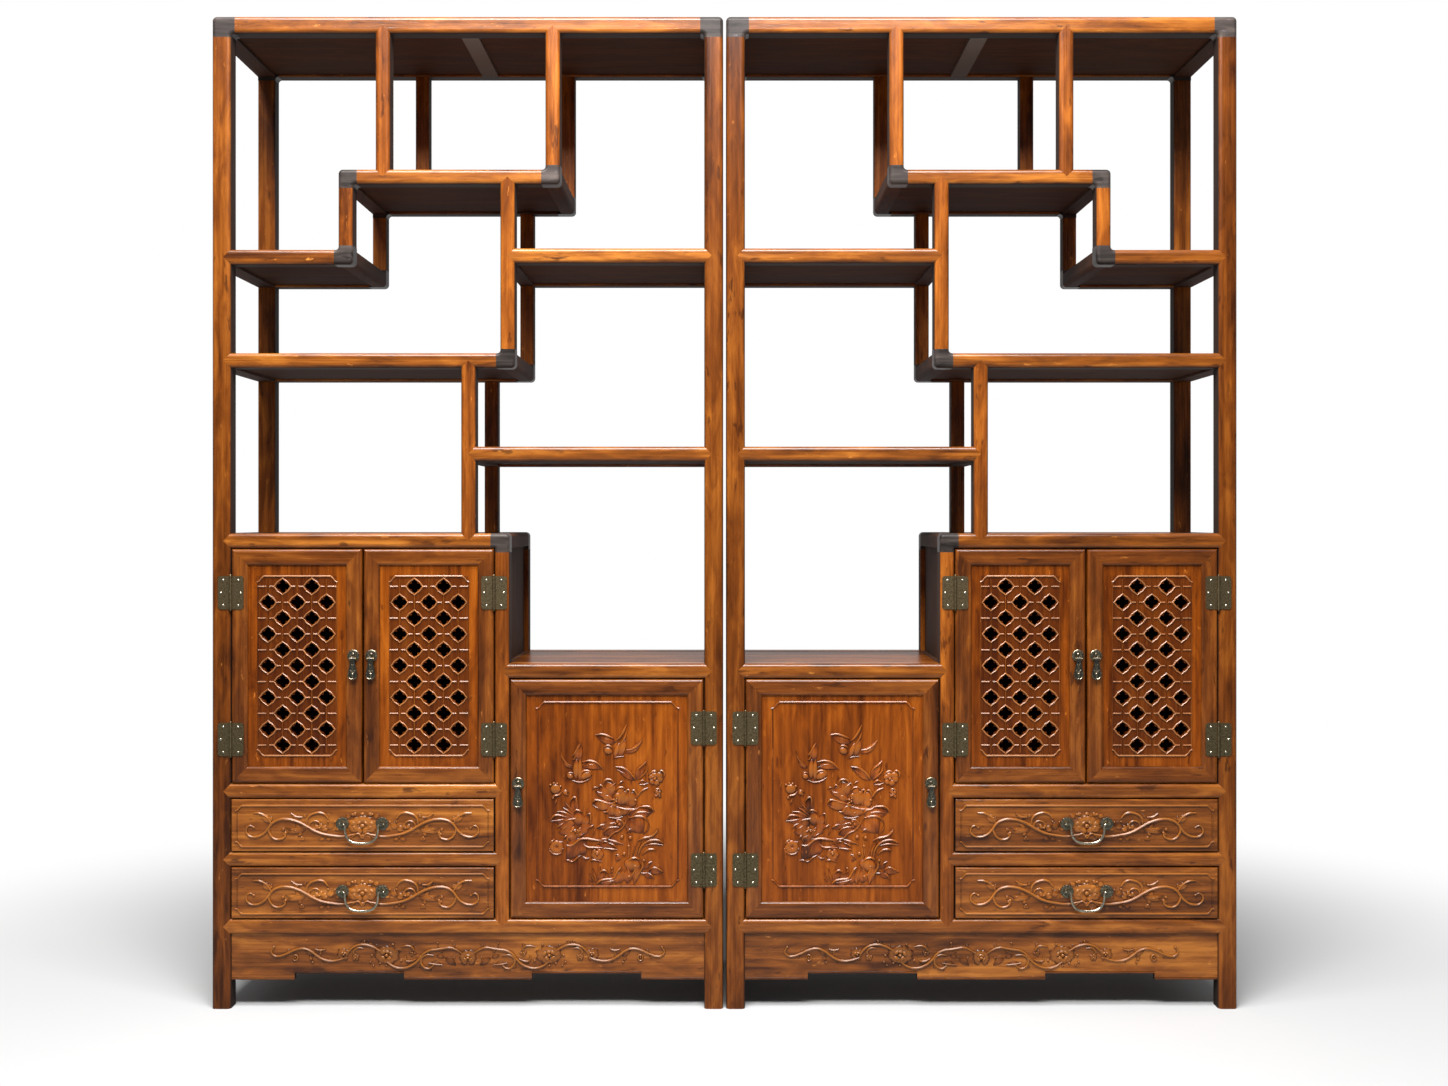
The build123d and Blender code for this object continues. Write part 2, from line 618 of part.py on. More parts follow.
def door_frame(name, x0, x1, z0, z1):
    """Two stiles and two rails, mitred where they meet."""
    width, height = x1 - x0, z1 - z0
    places = [
        (width, Pos(x0, 0, z0)),
        (width, Pos(x1, 0, z1) * Rot(0, 180, 0)),
        (height, Pos(x0, 0, z1) * Rot(0, 90, 0)),
        (height, Pos(x1, 0, z0) * Rot(0, -90, 0)),
    ]
    return [Member(f"{name}_frame", door_member(length, place)) for length, place in places]


def door_panel(name, x0, x1, z0, z1, pierce=None):
    inset = DOOR_MEMBER - GROOVE_DEPTH
    y0, y1 = PANEL_SETBACK, PANEL_SETBACK + PANEL_THICKNESS
    blank = cuboid(x0 + inset, x1 - inset, y0, y1, z0 + inset, z1 - inset)
    shape = blank - pierce if pierce else blank
    return Member(f"{name}_panel", shape, [blank])


def lattice_holes(x0, x1, z0, z1):
    """Four-lobed holes through a panel, in rows of two and three by turns."""
    centre_x, centre_z = (x0 + x1) / 2, (z0 + z1) / 2
    lobes = [Pos(dx, dz) * Circle(LATTICE_LOBE)
             for dx, dz in ((LATTICE_LOBE_OFFSET, 0), (-LATTICE_LOBE_OFFSET, 0),
                            (0, LATTICE_LOBE_OFFSET), (0, -LATTICE_LOBE_OFFSET))]
    outline = lobes[0] + lobes[1:] + Rectangle(LATTICE_LOBE, LATTICE_LOBE)
    hole = slab(outline, PANEL_SETBACK - OVERRUN, PANEL_SETBACK + PANEL_THICKNESS + OVERRUN)
    holes = []
    for row in range(LATTICE_ROWS):
        z = centre_z + (row - (LATTICE_ROWS - 1) / 2) * LATTICE_PITCH_Z
        columns = (-2, 0, 2) if row % 2 else (-1, 1)
        holes += [Pos(centre_x + column * LATTICE_PITCH_X, 0, z) * hole for column in columns]
    return holes


def screw(x, z):
    """A domed screw through a hinge leaf, with its head on the leaf's face."""
    face = -LEAF_THICKNESS
    head = cylinder_y(x, face - SCREW_HEAD_HEIGHT, face, z, SCREW_HEAD_RADIUS)
    return head + cylinder_y(x, face, SCREW_LENGTH, z, SCREW_RADIUS)


def hinge_leaf(axis_x, centre_z, out, own, other):
    """A leaf on the side out of the pin, with knuckles over the spans own, clear of other."""
    half = LEAF_HEIGHT / 2
    near, far = axis_x + out * LEAF_PARTING, axis_x + out * LEAF_WIDTH
    low_x, high_x = sorted((near, far))
    plate = cuboid(low_x, high_x, -LEAF_THICKNESS, 0, centre_z - half, centre_z + half)
    outer = [e for e in plate.edges().filter_by(Axis.Y) if abs(e.center().X - far) < LEAF_PARTING]
    plate = fillet(outer, LEAF_CORNER)
    axis_y = -KNUCKLE_RADIUS
    clear = KNUCKLE_RADIUS + KNUCKLE_GAP
    for low, high in other:
        plate -= cylinder_z(axis_x, axis_y, low - KNUCKLE_GAP, high + KNUCKLE_GAP, clear)
    for low, high in own:
        plate += cylinder_z(axis_x, axis_y, low, high, KNUCKLE_RADIUS)
    bore = cylinder_z(axis_x, axis_y, centre_z - LEAF_HEIGHT, centre_z + LEAF_HEIGHT,
                      PIN_RADIUS + PIN_CLEARANCE)
    return plate - bore


def screw_places(axis_x, centre_z, out):
    end = LEAF_HEIGHT / 2 - SCREW_END_INSET
    return [(axis_x + out * SCREW_NEAR, centre_z + end), (axis_x + out * SCREW_FAR, centre_z),
            (axis_x + out * SCREW_NEAR, centre_z - end)]


def hinge(axis_x, centre_z, door_side):
    """Solids that stay on the post, solids that go with the door, and the holes for screws."""
    half = LEAF_HEIGHT / 2
    low, high = centre_z - half, centre_z + half
    post_spans = [(low, low + KNUCKLE_LENGTH), (high - KNUCKLE_LENGTH, high)]
    door_spans = [(low + KNUCKLE_LENGTH + KNUCKLE_GAP, high - KNUCKLE_LENGTH - KNUCKLE_GAP)]
    fixed, moving, holes = [], [], []
    for side, kept, own, other in ((-door_side, fixed, post_spans, door_spans),
                                   (door_side, moving, door_spans, post_spans)):
        screws = [screw(x, z) for x, z in screw_places(axis_x, centre_z, side)]
        leaf = hinge_leaf(axis_x, centre_z, side, own, other) - screws
        kept += leaf.solids() + [s.solids()[0] for s in screws]
        holes += screws
    axis_y = -KNUCKLE_RADIUS
    pin = cylinder_z(axis_x, axis_y, low, high, PIN_RADIUS)
    for end, reach in ((low, -1), (high, 1)):
        finial = Pos(axis_x, axis_y, end + reach * FINIAL_RADIUS / 2) * Sphere(FINIAL_RADIUS)
        keep = cuboid(axis_x - FINIAL_RADIUS, axis_x + FINIAL_RADIUS, axis_y - FINIAL_RADIUS,
                      axis_y + FINIAL_RADIUS, *sorted((end, end + reach * 2 * FINIAL_RADIUS)))
        pin += finial & keep
    fixed += pin.solids()
    return fixed, moving, holes


def pull(x, z):
    """A rosette with two lugs and a pin, and the drop that hangs on the pin."""
    pin_z, pin_y = z - PULL_PIN_DROP, -PULL_PIN_REACH
    rosette = cylinder_y(x, -ROSETTE_THICKNESS, 0, z, ROSETTE_RADIUS)
    for side in (-1, 1):
        lug_x = x + side * LUG_SPREAD
        near, far = lug_x - LUG_WIDTH / 2, lug_x + LUG_WIDTH / 2
        rosette += cuboid(near, far, pin_y, -ROSETTE_THICKNESS, pin_z - EYE_RADIUS,
                          pin_z + EYE_RADIUS)
        rosette += cylinder_x(near, far, pin_y, pin_z, EYE_RADIUS)
    reach = LUG_SPREAD + LUG_WIDTH / 2
    pin = cylinder_x(x - reach, x + reach, pin_y, pin_z, PULL_PIN_RADIUS)
    fixed = (rosette - pin).solids() + pin.solids()
    neck = LUG_SPREAD - LUG_WIDTH / 2 - RUNNING_GAP
    bulb = pin_z - DROP_LENGTH + DROP_WIDTH / 2
    shoulder = pin_z - DROP_SHOULDER
    outline = Polygon((x - DROP_WIDTH / 2, bulb), (x + DROP_WIDTH / 2, bulb),
                      (x + neck, shoulder), (x + neck, pin_z),
                      (x - neck, pin_z), (x - neck, shoulder), align=None)
    outline += Pos(x, bulb) * Circle(DROP_WIDTH / 2)
    half = DROP_THICKNESS / 2
    drop = slab(outline, pin_y - half, pin_y + half)
    drop += cylinder_x(x - neck, x + neck, pin_y, pin_z, EYE_RADIUS)
    drop -= cylinder_x(x - reach, x + reach, pin_y, pin_z, PULL_PIN_RADIUS + PIN_CLEARANCE)
    return fixed, drop.solids()


def door(name, x0, x1, z0, z1, hinged_at, inset, pull_height, pierced):
    """One door between x0 and x1, hinged at -1 its outer or 1 its inner edge."""
    gap = DOOR_GAP / 2
    axis_x = x0 - gap if hinged_at < 0 else x1 + gap
    pull_x = x1 - DOOR_MEMBER / 2 if hinged_at < 0 else x0 + DOOR_MEMBER / 2
    fixed, hardware, holes = [], [], []
    for centre_z in (z0 + inset, z1 - inset):
        stays, goes, bored = hinge(axis_x, centre_z, -hinged_at)
        fixed += stays
        hardware += goes
        holes += bored
    rosette, drop = pull(pull_x, pull_height)
    pierce = lattice_holes(x0, x1, z0, z1) if pierced else None
    members = door_frame(name, x0, x1, z0, z1)
    members.append(door_panel(name, x0, x1, z0, z1, pierce))
    groups = joined(members, holes)
    groups[f"{name}_hardware"] = hardware + rosette
    groups[f"{name}_pull_drop"] = drop
    return groups, fixed, holes


def doors():
    half = RAIL_HEIGHT / 2
    low, high = CUPBOARD_RAIL + half + DOOR_GAP, CASE_TOP - half - DOOR_GAP
    start, end = POST_WIDTH + DOOR_GAP, CASE_POST - HALF_INNER - DOOR_GAP
    width = (end - start - MEETING_GAP) / 2
    panel_start, panel_end = CASE_POST + HALF_INNER + DOOR_GAP, INNER_SIDE - DOOR_GAP
    panel_low, panel_high = BOTTOM_TOP + DOOR_GAP, COUNTER - half - DOOR_GAP
    return [
        door("outer_door", start, start + width, low, high, -1, LATTICE_HINGE_INSET,
             LATTICE_PULL_HEIGHT, True),
        door("inner_door", end - width, end, low, high, 1, LATTICE_HINGE_INSET,
             LATTICE_PULL_HEIGHT, True),
        door("low_door", panel_start, panel_end, panel_low, panel_high, 1, PANEL_HINGE_INSET,
             PANEL_PULL_HEIGHT, False),
    ]


# ---------------------------------------------------------------- one cabinet, then the pair

def cabinet():
    """Every solid of one cabinet, in groups by node."""
    groups = {}
    holes = []
    groups["hinge_post_leaves"] = []
    for door_groups, fixed, bored in doors():
        groups.update(door_groups)
        groups["hinge_post_leaves"] += fixed
        holes += bored
    for name, (low, high) in drawer_openings().items():
        groups.update(drawer(name, low, high))
    frame = posts() + shelf_rails() + case_rails() + corner_blocks()
    frame += boards() + case_panels() + aprons() + drawer_runners()
    groups.update(joined(frame, holes))
    return groups


SHARED = ("aprons", "drawer_runners")


def pair():
    """The cabinet placed at the left, and its mirror at the right, under their node names."""
    nodes = {}
    for name, solids in cabinet().items():
        left = [Pos(LEFT_X, FRONT_Y, 0) * s for s in solids]
        right = [mirror(s, about=Plane.YZ) for s in left]
        if name in SHARED:
            nodes[name] = left + right
        else:
            nodes[f"left_{name}"] = left
            nodes[f"right_{name}"] = right
    return nodes


if __name__ == "__main__":
    os.makedirs("parts", exist_ok=True)
    for node, solids in pair().items():
        export_step(Compound(children=solids), f"parts/{node}.step")
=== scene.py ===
import math

import bmesh
import bpy
from mathutils import Matrix, Vector


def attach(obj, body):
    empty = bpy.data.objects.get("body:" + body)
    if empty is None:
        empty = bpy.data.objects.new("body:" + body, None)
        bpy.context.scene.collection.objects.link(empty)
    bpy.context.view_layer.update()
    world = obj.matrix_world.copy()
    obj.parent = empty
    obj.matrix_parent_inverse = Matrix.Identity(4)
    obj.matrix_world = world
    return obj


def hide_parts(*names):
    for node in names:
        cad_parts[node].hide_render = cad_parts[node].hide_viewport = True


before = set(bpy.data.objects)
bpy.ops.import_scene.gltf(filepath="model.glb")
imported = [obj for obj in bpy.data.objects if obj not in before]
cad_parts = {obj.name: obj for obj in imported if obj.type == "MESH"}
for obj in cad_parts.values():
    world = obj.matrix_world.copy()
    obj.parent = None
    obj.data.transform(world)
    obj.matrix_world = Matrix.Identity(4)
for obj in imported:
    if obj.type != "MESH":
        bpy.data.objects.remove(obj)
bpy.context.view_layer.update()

# Posts and rails. Solid hardwood with a red-brown stain under a clear, rubbed lacquer. Every
# member is rounded along its front edges and tenoned into its neighbour, and a rail's tip is
# mitred to a point on the face of the post.


def feed(socket, source):
    """Sets an input to a plain value, or links it to a socket or to a node's first output."""
    if isinstance(source, bpy.types.Node):
        source = next(out for out in source.outputs if out.enabled)
    if isinstance(source, bpy.types.NodeSocket):
        socket.id_data.links.new(source, socket)
    elif socket.type == "RGBA":
        socket.default_value = (*source, 1)
    else:
        socket.default_value = source


def add(nodes, kind, *inputs, **values):
    """A new shader node. Inputs are given in order, and properties and other inputs by name."""
    node = nodes.new(f"ShaderNode{kind}")
    for key, value in values.items():
        if hasattr(node, key):
            setattr(node, key, value)
        else:
            feed(node.inputs[key.replace("_", " ")], value)
    for socket, source in zip([each for each in node.inputs if each.enabled], inputs):
        feed(socket, source)
    return node


def calc(nodes, operation, *inputs, **values):
    """A new arithmetic node."""
    return add(nodes, "Math", *inputs, operation=operation, **values)


def blend(nodes, factor, first, second, **values):
    """A new node that goes from the first colour to the second."""
    return add(nodes, "Mix", factor, first, second, data_type="RGBA", **values)


def between(nodes, source, low, high, first=0.0, last=1.0, **values):
    """A new node that goes from first to last as its source goes from low to high."""
    return add(nodes, "MapRange", source, low, high, first, last, **values)


def new_group(name, inputs, outputs):
    """A new node group, given its sockets' names by kind, with its nodes, start and end."""
    group = bpy.data.node_groups.new(name, "ShaderNodeTree")
    for way, sockets in (("INPUT", inputs), ("OUTPUT", outputs)):
        for kind, names in sockets.items():
            for each in names:
                group.interface.new_socket(each, in_out=way, socket_type=f"NodeSocket{kind}")
    nodes = group.nodes
    return group, nodes, nodes.new("NodeGroupInput").outputs, nodes.new("NodeGroupOutput").inputs


def grain_group():
    """Timber cut along X: broad figure, streaks, fine pores and a slow change of tone."""
    group, nodes, start, end = new_group(
        "timber grain",
        {"Vector": ["Along X"], "Color": ["Deep", "Body", "Bright"], "Float": ["Figure", "Dull"]},
        {"Color": ["Colour"], "Float": ["Roughness", "Height"]})

    def noise(along, across, detail, roughness, distortion=0.0, place=(0, 0, 0)):
        """Noise drawn out along the grain."""
        drawn = add(nodes, "Mapping", start["Along X"], Location=place,
                    Scale=(along, across, across))
        return add(nodes, "TexNoise", drawn, Scale=1.0, Detail=detail, Roughness=roughness,
                   Distortion=distortion)

    def weighed(*parts):
        """The sum of (source, weight) parts."""
        total = 0.0
        for source, weight in parts:
            total = calc(nodes, "MULTIPLY_ADD", source, weight, total)
        return total

    # the broad figure is contour bands through a warped noise
    warp = noise(1.1, 10, 3.0, 0.5, 0.6)
    wave = calc(nodes, "SINE", calc(nodes, "MULTIPLY", warp, 46))
    bands = between(nodes, wave, -1, 1)
    figure = calc(nodes, "MULTIPLY", bands, start["Figure"])
    streak = noise(2.2, 95, 5.0, 0.62, 0.25)
    slow = noise(0.9, 7, 2.0, 0.5, 1.2, (3.1, 1.7, 5.3))
    mottle = noise(9, 42, 4.0, 0.6, 0.9, (7.7, 2.9, 1.3))
    total = weighed((figure, 0.17), (streak, 0.52), (slow, 0.52), (mottle, 0.55))
    tone = between(nodes, total, 0.64, 1.06)
    low = blend(nodes, between(nodes, tone, 0.0, 0.5), start["Deep"], start["Body"])
    high = blend(nodes, between(nodes, tone, 0.5, 1.0), low, start["Bright"])

    # pores and small dark marks
    pores = between(nodes, noise(28, 420, 2.0, 0.5), 0.60, 0.74)
    marks = between(nodes, noise(16, 60, 3.0, 0.6), 0.635, 0.70)
    dark = calc(nodes, "MULTIPLY_ADD", pores, 0.35, calc(nodes, "MULTIPLY", marks, 0.75),
                use_clamp=True)
    colour = blend(nodes, dark, high, start["Deep"])

    # rubbed spots, where the stain has gone thin
    spots = noise(34, 95, 3.0, 0.65, place=(1.9, 8.3, 4.1))
    rubbed_and_highlit = between(nodes, spots, 0.67, 0.76, last=0.65)
    thinned = add(nodes, "VectorMath", start["Bright"], (1.45, 1.6, 2.2), (0.02, 0.012, 0.006),
                  operation="MULTIPLY_ADD")
    feed(end["Colour"], blend(nodes, rubbed_and_highlit, colour, thinned))

    shine = between(nodes, streak, 0.0, 1.0, 0.20, 0.34)
    feed(end["Roughness"], calc(nodes, "ADD", shine, start["Dull"]))
    feed(end["Height"], weighed((streak, 0.5), (pores, -0.5)))
    return group


def shade_mask_group():
    """Where painted shade goes: 1 on faces that look sideways into the cabinet or down, and 0 on
    its outsides. With Inner at 1, every face but the outsides counts."""
    group, nodes, start, end = new_group(
        "faces for painted shade", {"Vector": ["Facing", "Place"], "Float": ["Inner"]}, {"Float": ["Away"]})
    facing = add(nodes, "SeparateXYZ", start["Facing"]).outputs
    place = add(nodes, "SeparateXYZ", start["Place"]).outputs
    sideways = calc(nodes, "ABSOLUTE", facing["X"])
    down = calc(nodes, "MULTIPLY", facing["Z"], -1)
    turned = between(nodes, calc(nodes, "MAXIMUM", sideways, down), 0.72, 0.97)
    outward = calc(nodes, "MULTIPLY", facing["X"], place["X"])
    within = between(nodes, outward, 1.008, 1.014, 1.0, 0.0)
    either = calc(nodes, "MAXIMUM", turned, start["Inner"])
    feed(end["Away"], calc(nodes, "MULTIPLY", either, within))
    return group


GRAIN, SHADE_MASK = grain_group(), shade_mask_group()
ALONG = {"X": (0, 0, 0), "Y": (0, 0, math.radians(-90)), "Z": (0, math.radians(90), 0)}
STAIN = ((0.036, 0.008, 0.001), (0.135, 0.033, 0.003), (0.28, 0.083, 0.009))


def new_material(name):
    """A new material, with its nodes and its shader's inputs."""
    made = bpy.data.materials.new(name)
    made.use_nodes = True
    nodes = made.node_tree.nodes
    return made, nodes, nodes["Principled BSDF"].inputs


def timber(name, along="X", tones=STAIN, figure=0.45, dull=0.0, ior=1.5, relief=0.22,
           shift=(0, 0, 0)):
    """Stained and lacquered timber whose grain runs along one axis, in three tones."""
    made, nodes, shader = new_material(name)
    feed(shader["IOR"], ior)
    where = add(nodes, "TexCoord", name="where").outputs["Object"]
    turn = add(nodes, "Mapping", where, name="turn", Location=shift, Rotation=ALONG[along])
    grain = add(nodes, "Group", name="grain", node_tree=GRAIN, Along_X=turn, Figure=figure,
                Dull=dull, **dict(zip(("Deep", "Body", "Bright"), tones))).outputs
    feed(shader["Base Color"], grain["Colour"])
    feed(shader["Roughness"], grain["Roughness"])
    feed(shader["Normal"], add(nodes, "Bump", Strength=relief, Distance=0.0006,
                               Height=grain["Height"]))
    return made


def opened(material):
    """A timber's nodes, its shader's inputs, and the outputs of its coordinates and grain."""
    nodes = material.node_tree.nodes
    return (nodes, nodes["Principled BSDF"].inputs, nodes["where"].outputs,
            nodes["grain"].outputs)


def paint_shade_on_sides(material, dark=(0.011, 0.005, 0.003), depth=0.94, inner=0.0):
    """Paints shade, in a dark colour, on the inward sides and undersides of a member and leaves
    them dull.
    """
    nodes, shader, where, grain = opened(material)
    away = add(nodes, "Group", node_tree=SHADE_MASK, Facing=where["Normal"], Place=where["Object"],
               Inner=inner)
    # painted shade: the faces turned away from the lamps are blended towards the dark colour
    share = calc(nodes, "MULTIPLY", away, depth)
    feed(shader["Base Color"], blend(nodes, share, grain["Colour"], dark))
    feed(shader["Roughness"], calc(nodes, "MULTIPLY_ADD", away, 0.5, grain["Roughness"]))


def coat(name, material):
    """Gives one of the frame's nodes a material all over."""
    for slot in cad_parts[name].material_slots:
        slot.material = material


def dress(material, *names):
    """Coats the left and the right cabinet's nodes of these names."""
    for name in names:
        for side in ("left", "right"):
            coat(f"{side}_{name}", material)


UPRIGHT = timber("post timber", "Z", ior=1.38)
INNER_UPRIGHT = timber("inner post timber", "Z", ior=1.38, tones=(
    (0.055, 0.012, 0.002), (0.200, 0.050, 0.005), (0.42, 0.125, 0.014)))
# painted light: the rail timber's tones are lighter than the post timber's, the same wood coloured
# as if lit more
LEVEL = timber("rail timber", tones=(
    (0.055, 0.013, 0.002), (0.210, 0.057, 0.005), (0.44, 0.148, 0.018)))
THROUGH = timber("side rail timber", "Y", ior=1.25)
# painted shade: the sides and undersides of posts and rails that face into the cabinet or down are
# coloured dark, and the side rails on every face but the outside
for wood in (UPRIGHT, INNER_UPRIGHT, LEVEL):
    paint_shade_on_sides(wood)
paint_shade_on_sides(THROUGH, (0.026, 0.015, 0.011), depth=0.75, inner=1.0)
dress(UPRIGHT, "corner_posts")
dress(INNER_UPRIGHT, "inner_posts")
dress(LEVEL, "front_rails", "back_rails")
dress(THROUGH, "side_rails")


# Corner blocks. Where a rail and a post end in one corner, an L-shaped block of blackened
# hardwood takes both, with a hollow inner corner and a rounded outer one.

EBONISED = timber("ebonised timber", figure=0.3, dull=0.15, ior=1.3, tones=(
    (0.010, 0.008, 0.007), (0.046, 0.035, 0.031), (0.110, 0.086, 0.075)))
dress(EBONISED, "corner_blocks")


# Shelf boards and the batten under the top board. Planks of the same timber, lacquered above
# and dull underneath, with painted shade there, float in grooves in their rails. The batten is
# bare and grey.

MM = 0.001
BATTEN_MIDDLE, BATTEN_REACH = (518, 0, 1960), (20, 1, 13)
SOFT_EDGE = 0.004


def room_about(nodes, place, middle, reach):
    """How far a place lies inside a box about its middle, as X, Y and Z."""
    apart = add(nodes, "VectorMath", place, middle, operation="SUBTRACT")
    far = add(nodes, "VectorMath", apart, operation="ABSOLUTE")
    room = add(nodes, "VectorMath", reach, far, operation="SUBTRACT")
    return add(nodes, "SeparateXYZ", room).outputs


def inside_group():
    """1 within a box about Middle in the right cabinet, and within its mirror image."""
    group, nodes, start, end = new_group(
        "within a box", {"Vector": ["Place", "Middle", "Reach"]}, {"Float": ["Inside"]})
    place = add(nodes, "SeparateXYZ", start["Place"]).outputs
    folded = add(nodes, "CombineXYZ", X=calc(nodes, "ABSOLUTE", place["X"]), Z=place["Z"])
    room = room_about(nodes, folded, start["Middle"], start["Reach"])
    least = calc(nodes, "MINIMUM", room["X"], room["Z"])
    feed(end["Inside"], between(nodes, least, 0.0, SOFT_EDGE))
    return group


INSIDE = inside_group()


def tint_within(material, middles, reach, colour, depth):
    """Tints what lies within boxes, given in millimetres, the same in both cabinets."""
    nodes, shader, where, _ = opened(material)
    for middle in middles:
        before = shader["Base Color"].links[0].from_socket
        box = add(nodes, "Group", node_tree=INSIDE, Place=where["Object"],
                  Middle=Vector(middle) * MM, Reach=Vector(reach) * MM)
        share = calc(nodes, "MULTIPLY", box, depth)
        feed(shader["Base Color"], blend(nodes, share, before, colour))


PLANK = timber("plank timber", ior=1.16)
# painted shade on the boards' undersides
paint_shade_on_sides(PLANK, (0.040, 0.017, 0.009), depth=0.8)
tint_within(PLANK, [BATTEN_MIDDLE], BATTEN_REACH, (0.19, 0.165, 0.145), 0.85)
dress(PLANK, "boards")


# Case panels, drawer boxes and runners. Boards close the sides and back of the cupboards,
# lacquered like the frame on the cabinet's outer side and given painted shade within, and the
# drawers run between L-shaped runners.

LINING = timber("lining timber", "Z", ior=1.2)
# painted shade on every face of the panels and runners but the outsides
paint_shade_on_sides(LINING, (0.030, 0.016, 0.010), depth=0.75, inner=1.0)
SIDES = timber("drawer timber", "Y", dull=0.3, ior=1.2, tones=(
    (0.10, 0.05, 0.022), (0.27, 0.145, 0.062), (0.42, 0.25, 0.12)))
dress(LINING, "case_panels")
dress(SIDES, "upper_drawer_box", "lower_drawer_box")
coat("drawer_runners", LINING)


# Aprons. A shaped board between the feet under each front, carved with a vine, and a plain one
# on each side, let into the posts. The vine grows both ways from a flower in the middle.

LEFT_SIDE = -1033
FRONT = -173.35
APRON_FACE = 8
APRON_MIDDLE = 515
LIP_Z, RAISED_LIP_Z, LIP_HALF = 59.5, 72, 2.2
# (x, z, half width) along each stroke
VINE_STROKES = (
    ((-391.5, 122.5, 1.6), (-396.5, 114, 1.9), (-390.5, 106, 2.1), (-381, 105, 2.2),
     (-365, 110, 2.2), (-348.5, 117.5, 2.3), (-332.5, 120.5, 2.3), (-319, 116.5, 2.3),
     (-305.5, 107, 2.3), (-292.5, 99, 2.3), (-276, 95.5, 2.3), (-260, 97.5, 2.1),
     (-246, 102, 1.4)),
    ((-353.5, 102, 1.4), (-348.5, 107.5, 1.7), (-343, 102, 1.8), (-348.5, 96, 1.7),
     (-353.5, 101, 1.4)), ((-307, 118.5, 1.5), (-297.5, 117, 1.9), (-288, 118.5, 1.5)),
    ((-297, 117, 1.5), (-297.5, 108.5, 1.6), (-300.5, 104.5, 1.3)),
    ((-246.5, 102, 1.3), (-238.5, 116.5, 2.1), (-225, 126, 2.3), (-209, 128.5, 2.3),
     (-193, 124.5, 2.3), (-176.5, 115, 1.8)),
    ((-227, 106, 1.4), (-230.5, 114, 1.8), (-222.5, 121.5, 1.9), (-211.5, 120.5, 1.5)),
    ((-135, 123.5, 1.4), (-125.5, 126, 1.9), (-115, 124.5, 2), (-108, 116, 1.6)),
    ((-125.5, 106, 1.4), (-124.5, 96.5, 1.9), (-115, 95, 1.9), (-103.5, 99.5, 1.4)),
    ((-163.5, 93.5, 1.5), (-150, 84.5, 2.2), (-133.5, 81, 2.3), (-115, 85.5, 2.3),
     (-99, 97.5, 2.3), (-90.5, 108.5, 2.3), (-77, 116.5, 2.3), (-64, 118.5, 2.3),
     (-50.5, 120.5, 2.2), (-37, 122.5, 2.1), (-23.5, 118, 1.9), (-10, 108.5, 1.4)),
    ((-69, 106.5, 1.4), (-85, 107, 1.9), (-94.5, 97.5, 2), (-90.5, 84.5, 2.1), (-80, 80, 2.1),
     (-70, 85.5, 1.5)), ((-80, 91, 1.3), (-66.5, 88.5, 1.8), (-50.5, 87, 1.3)),
    ((-208.5, 128.5, 1.3), (-209, 134, 1.5)), ((-61, 118.5, 1.3), (-60.5, 129.5, 1.4)),
)
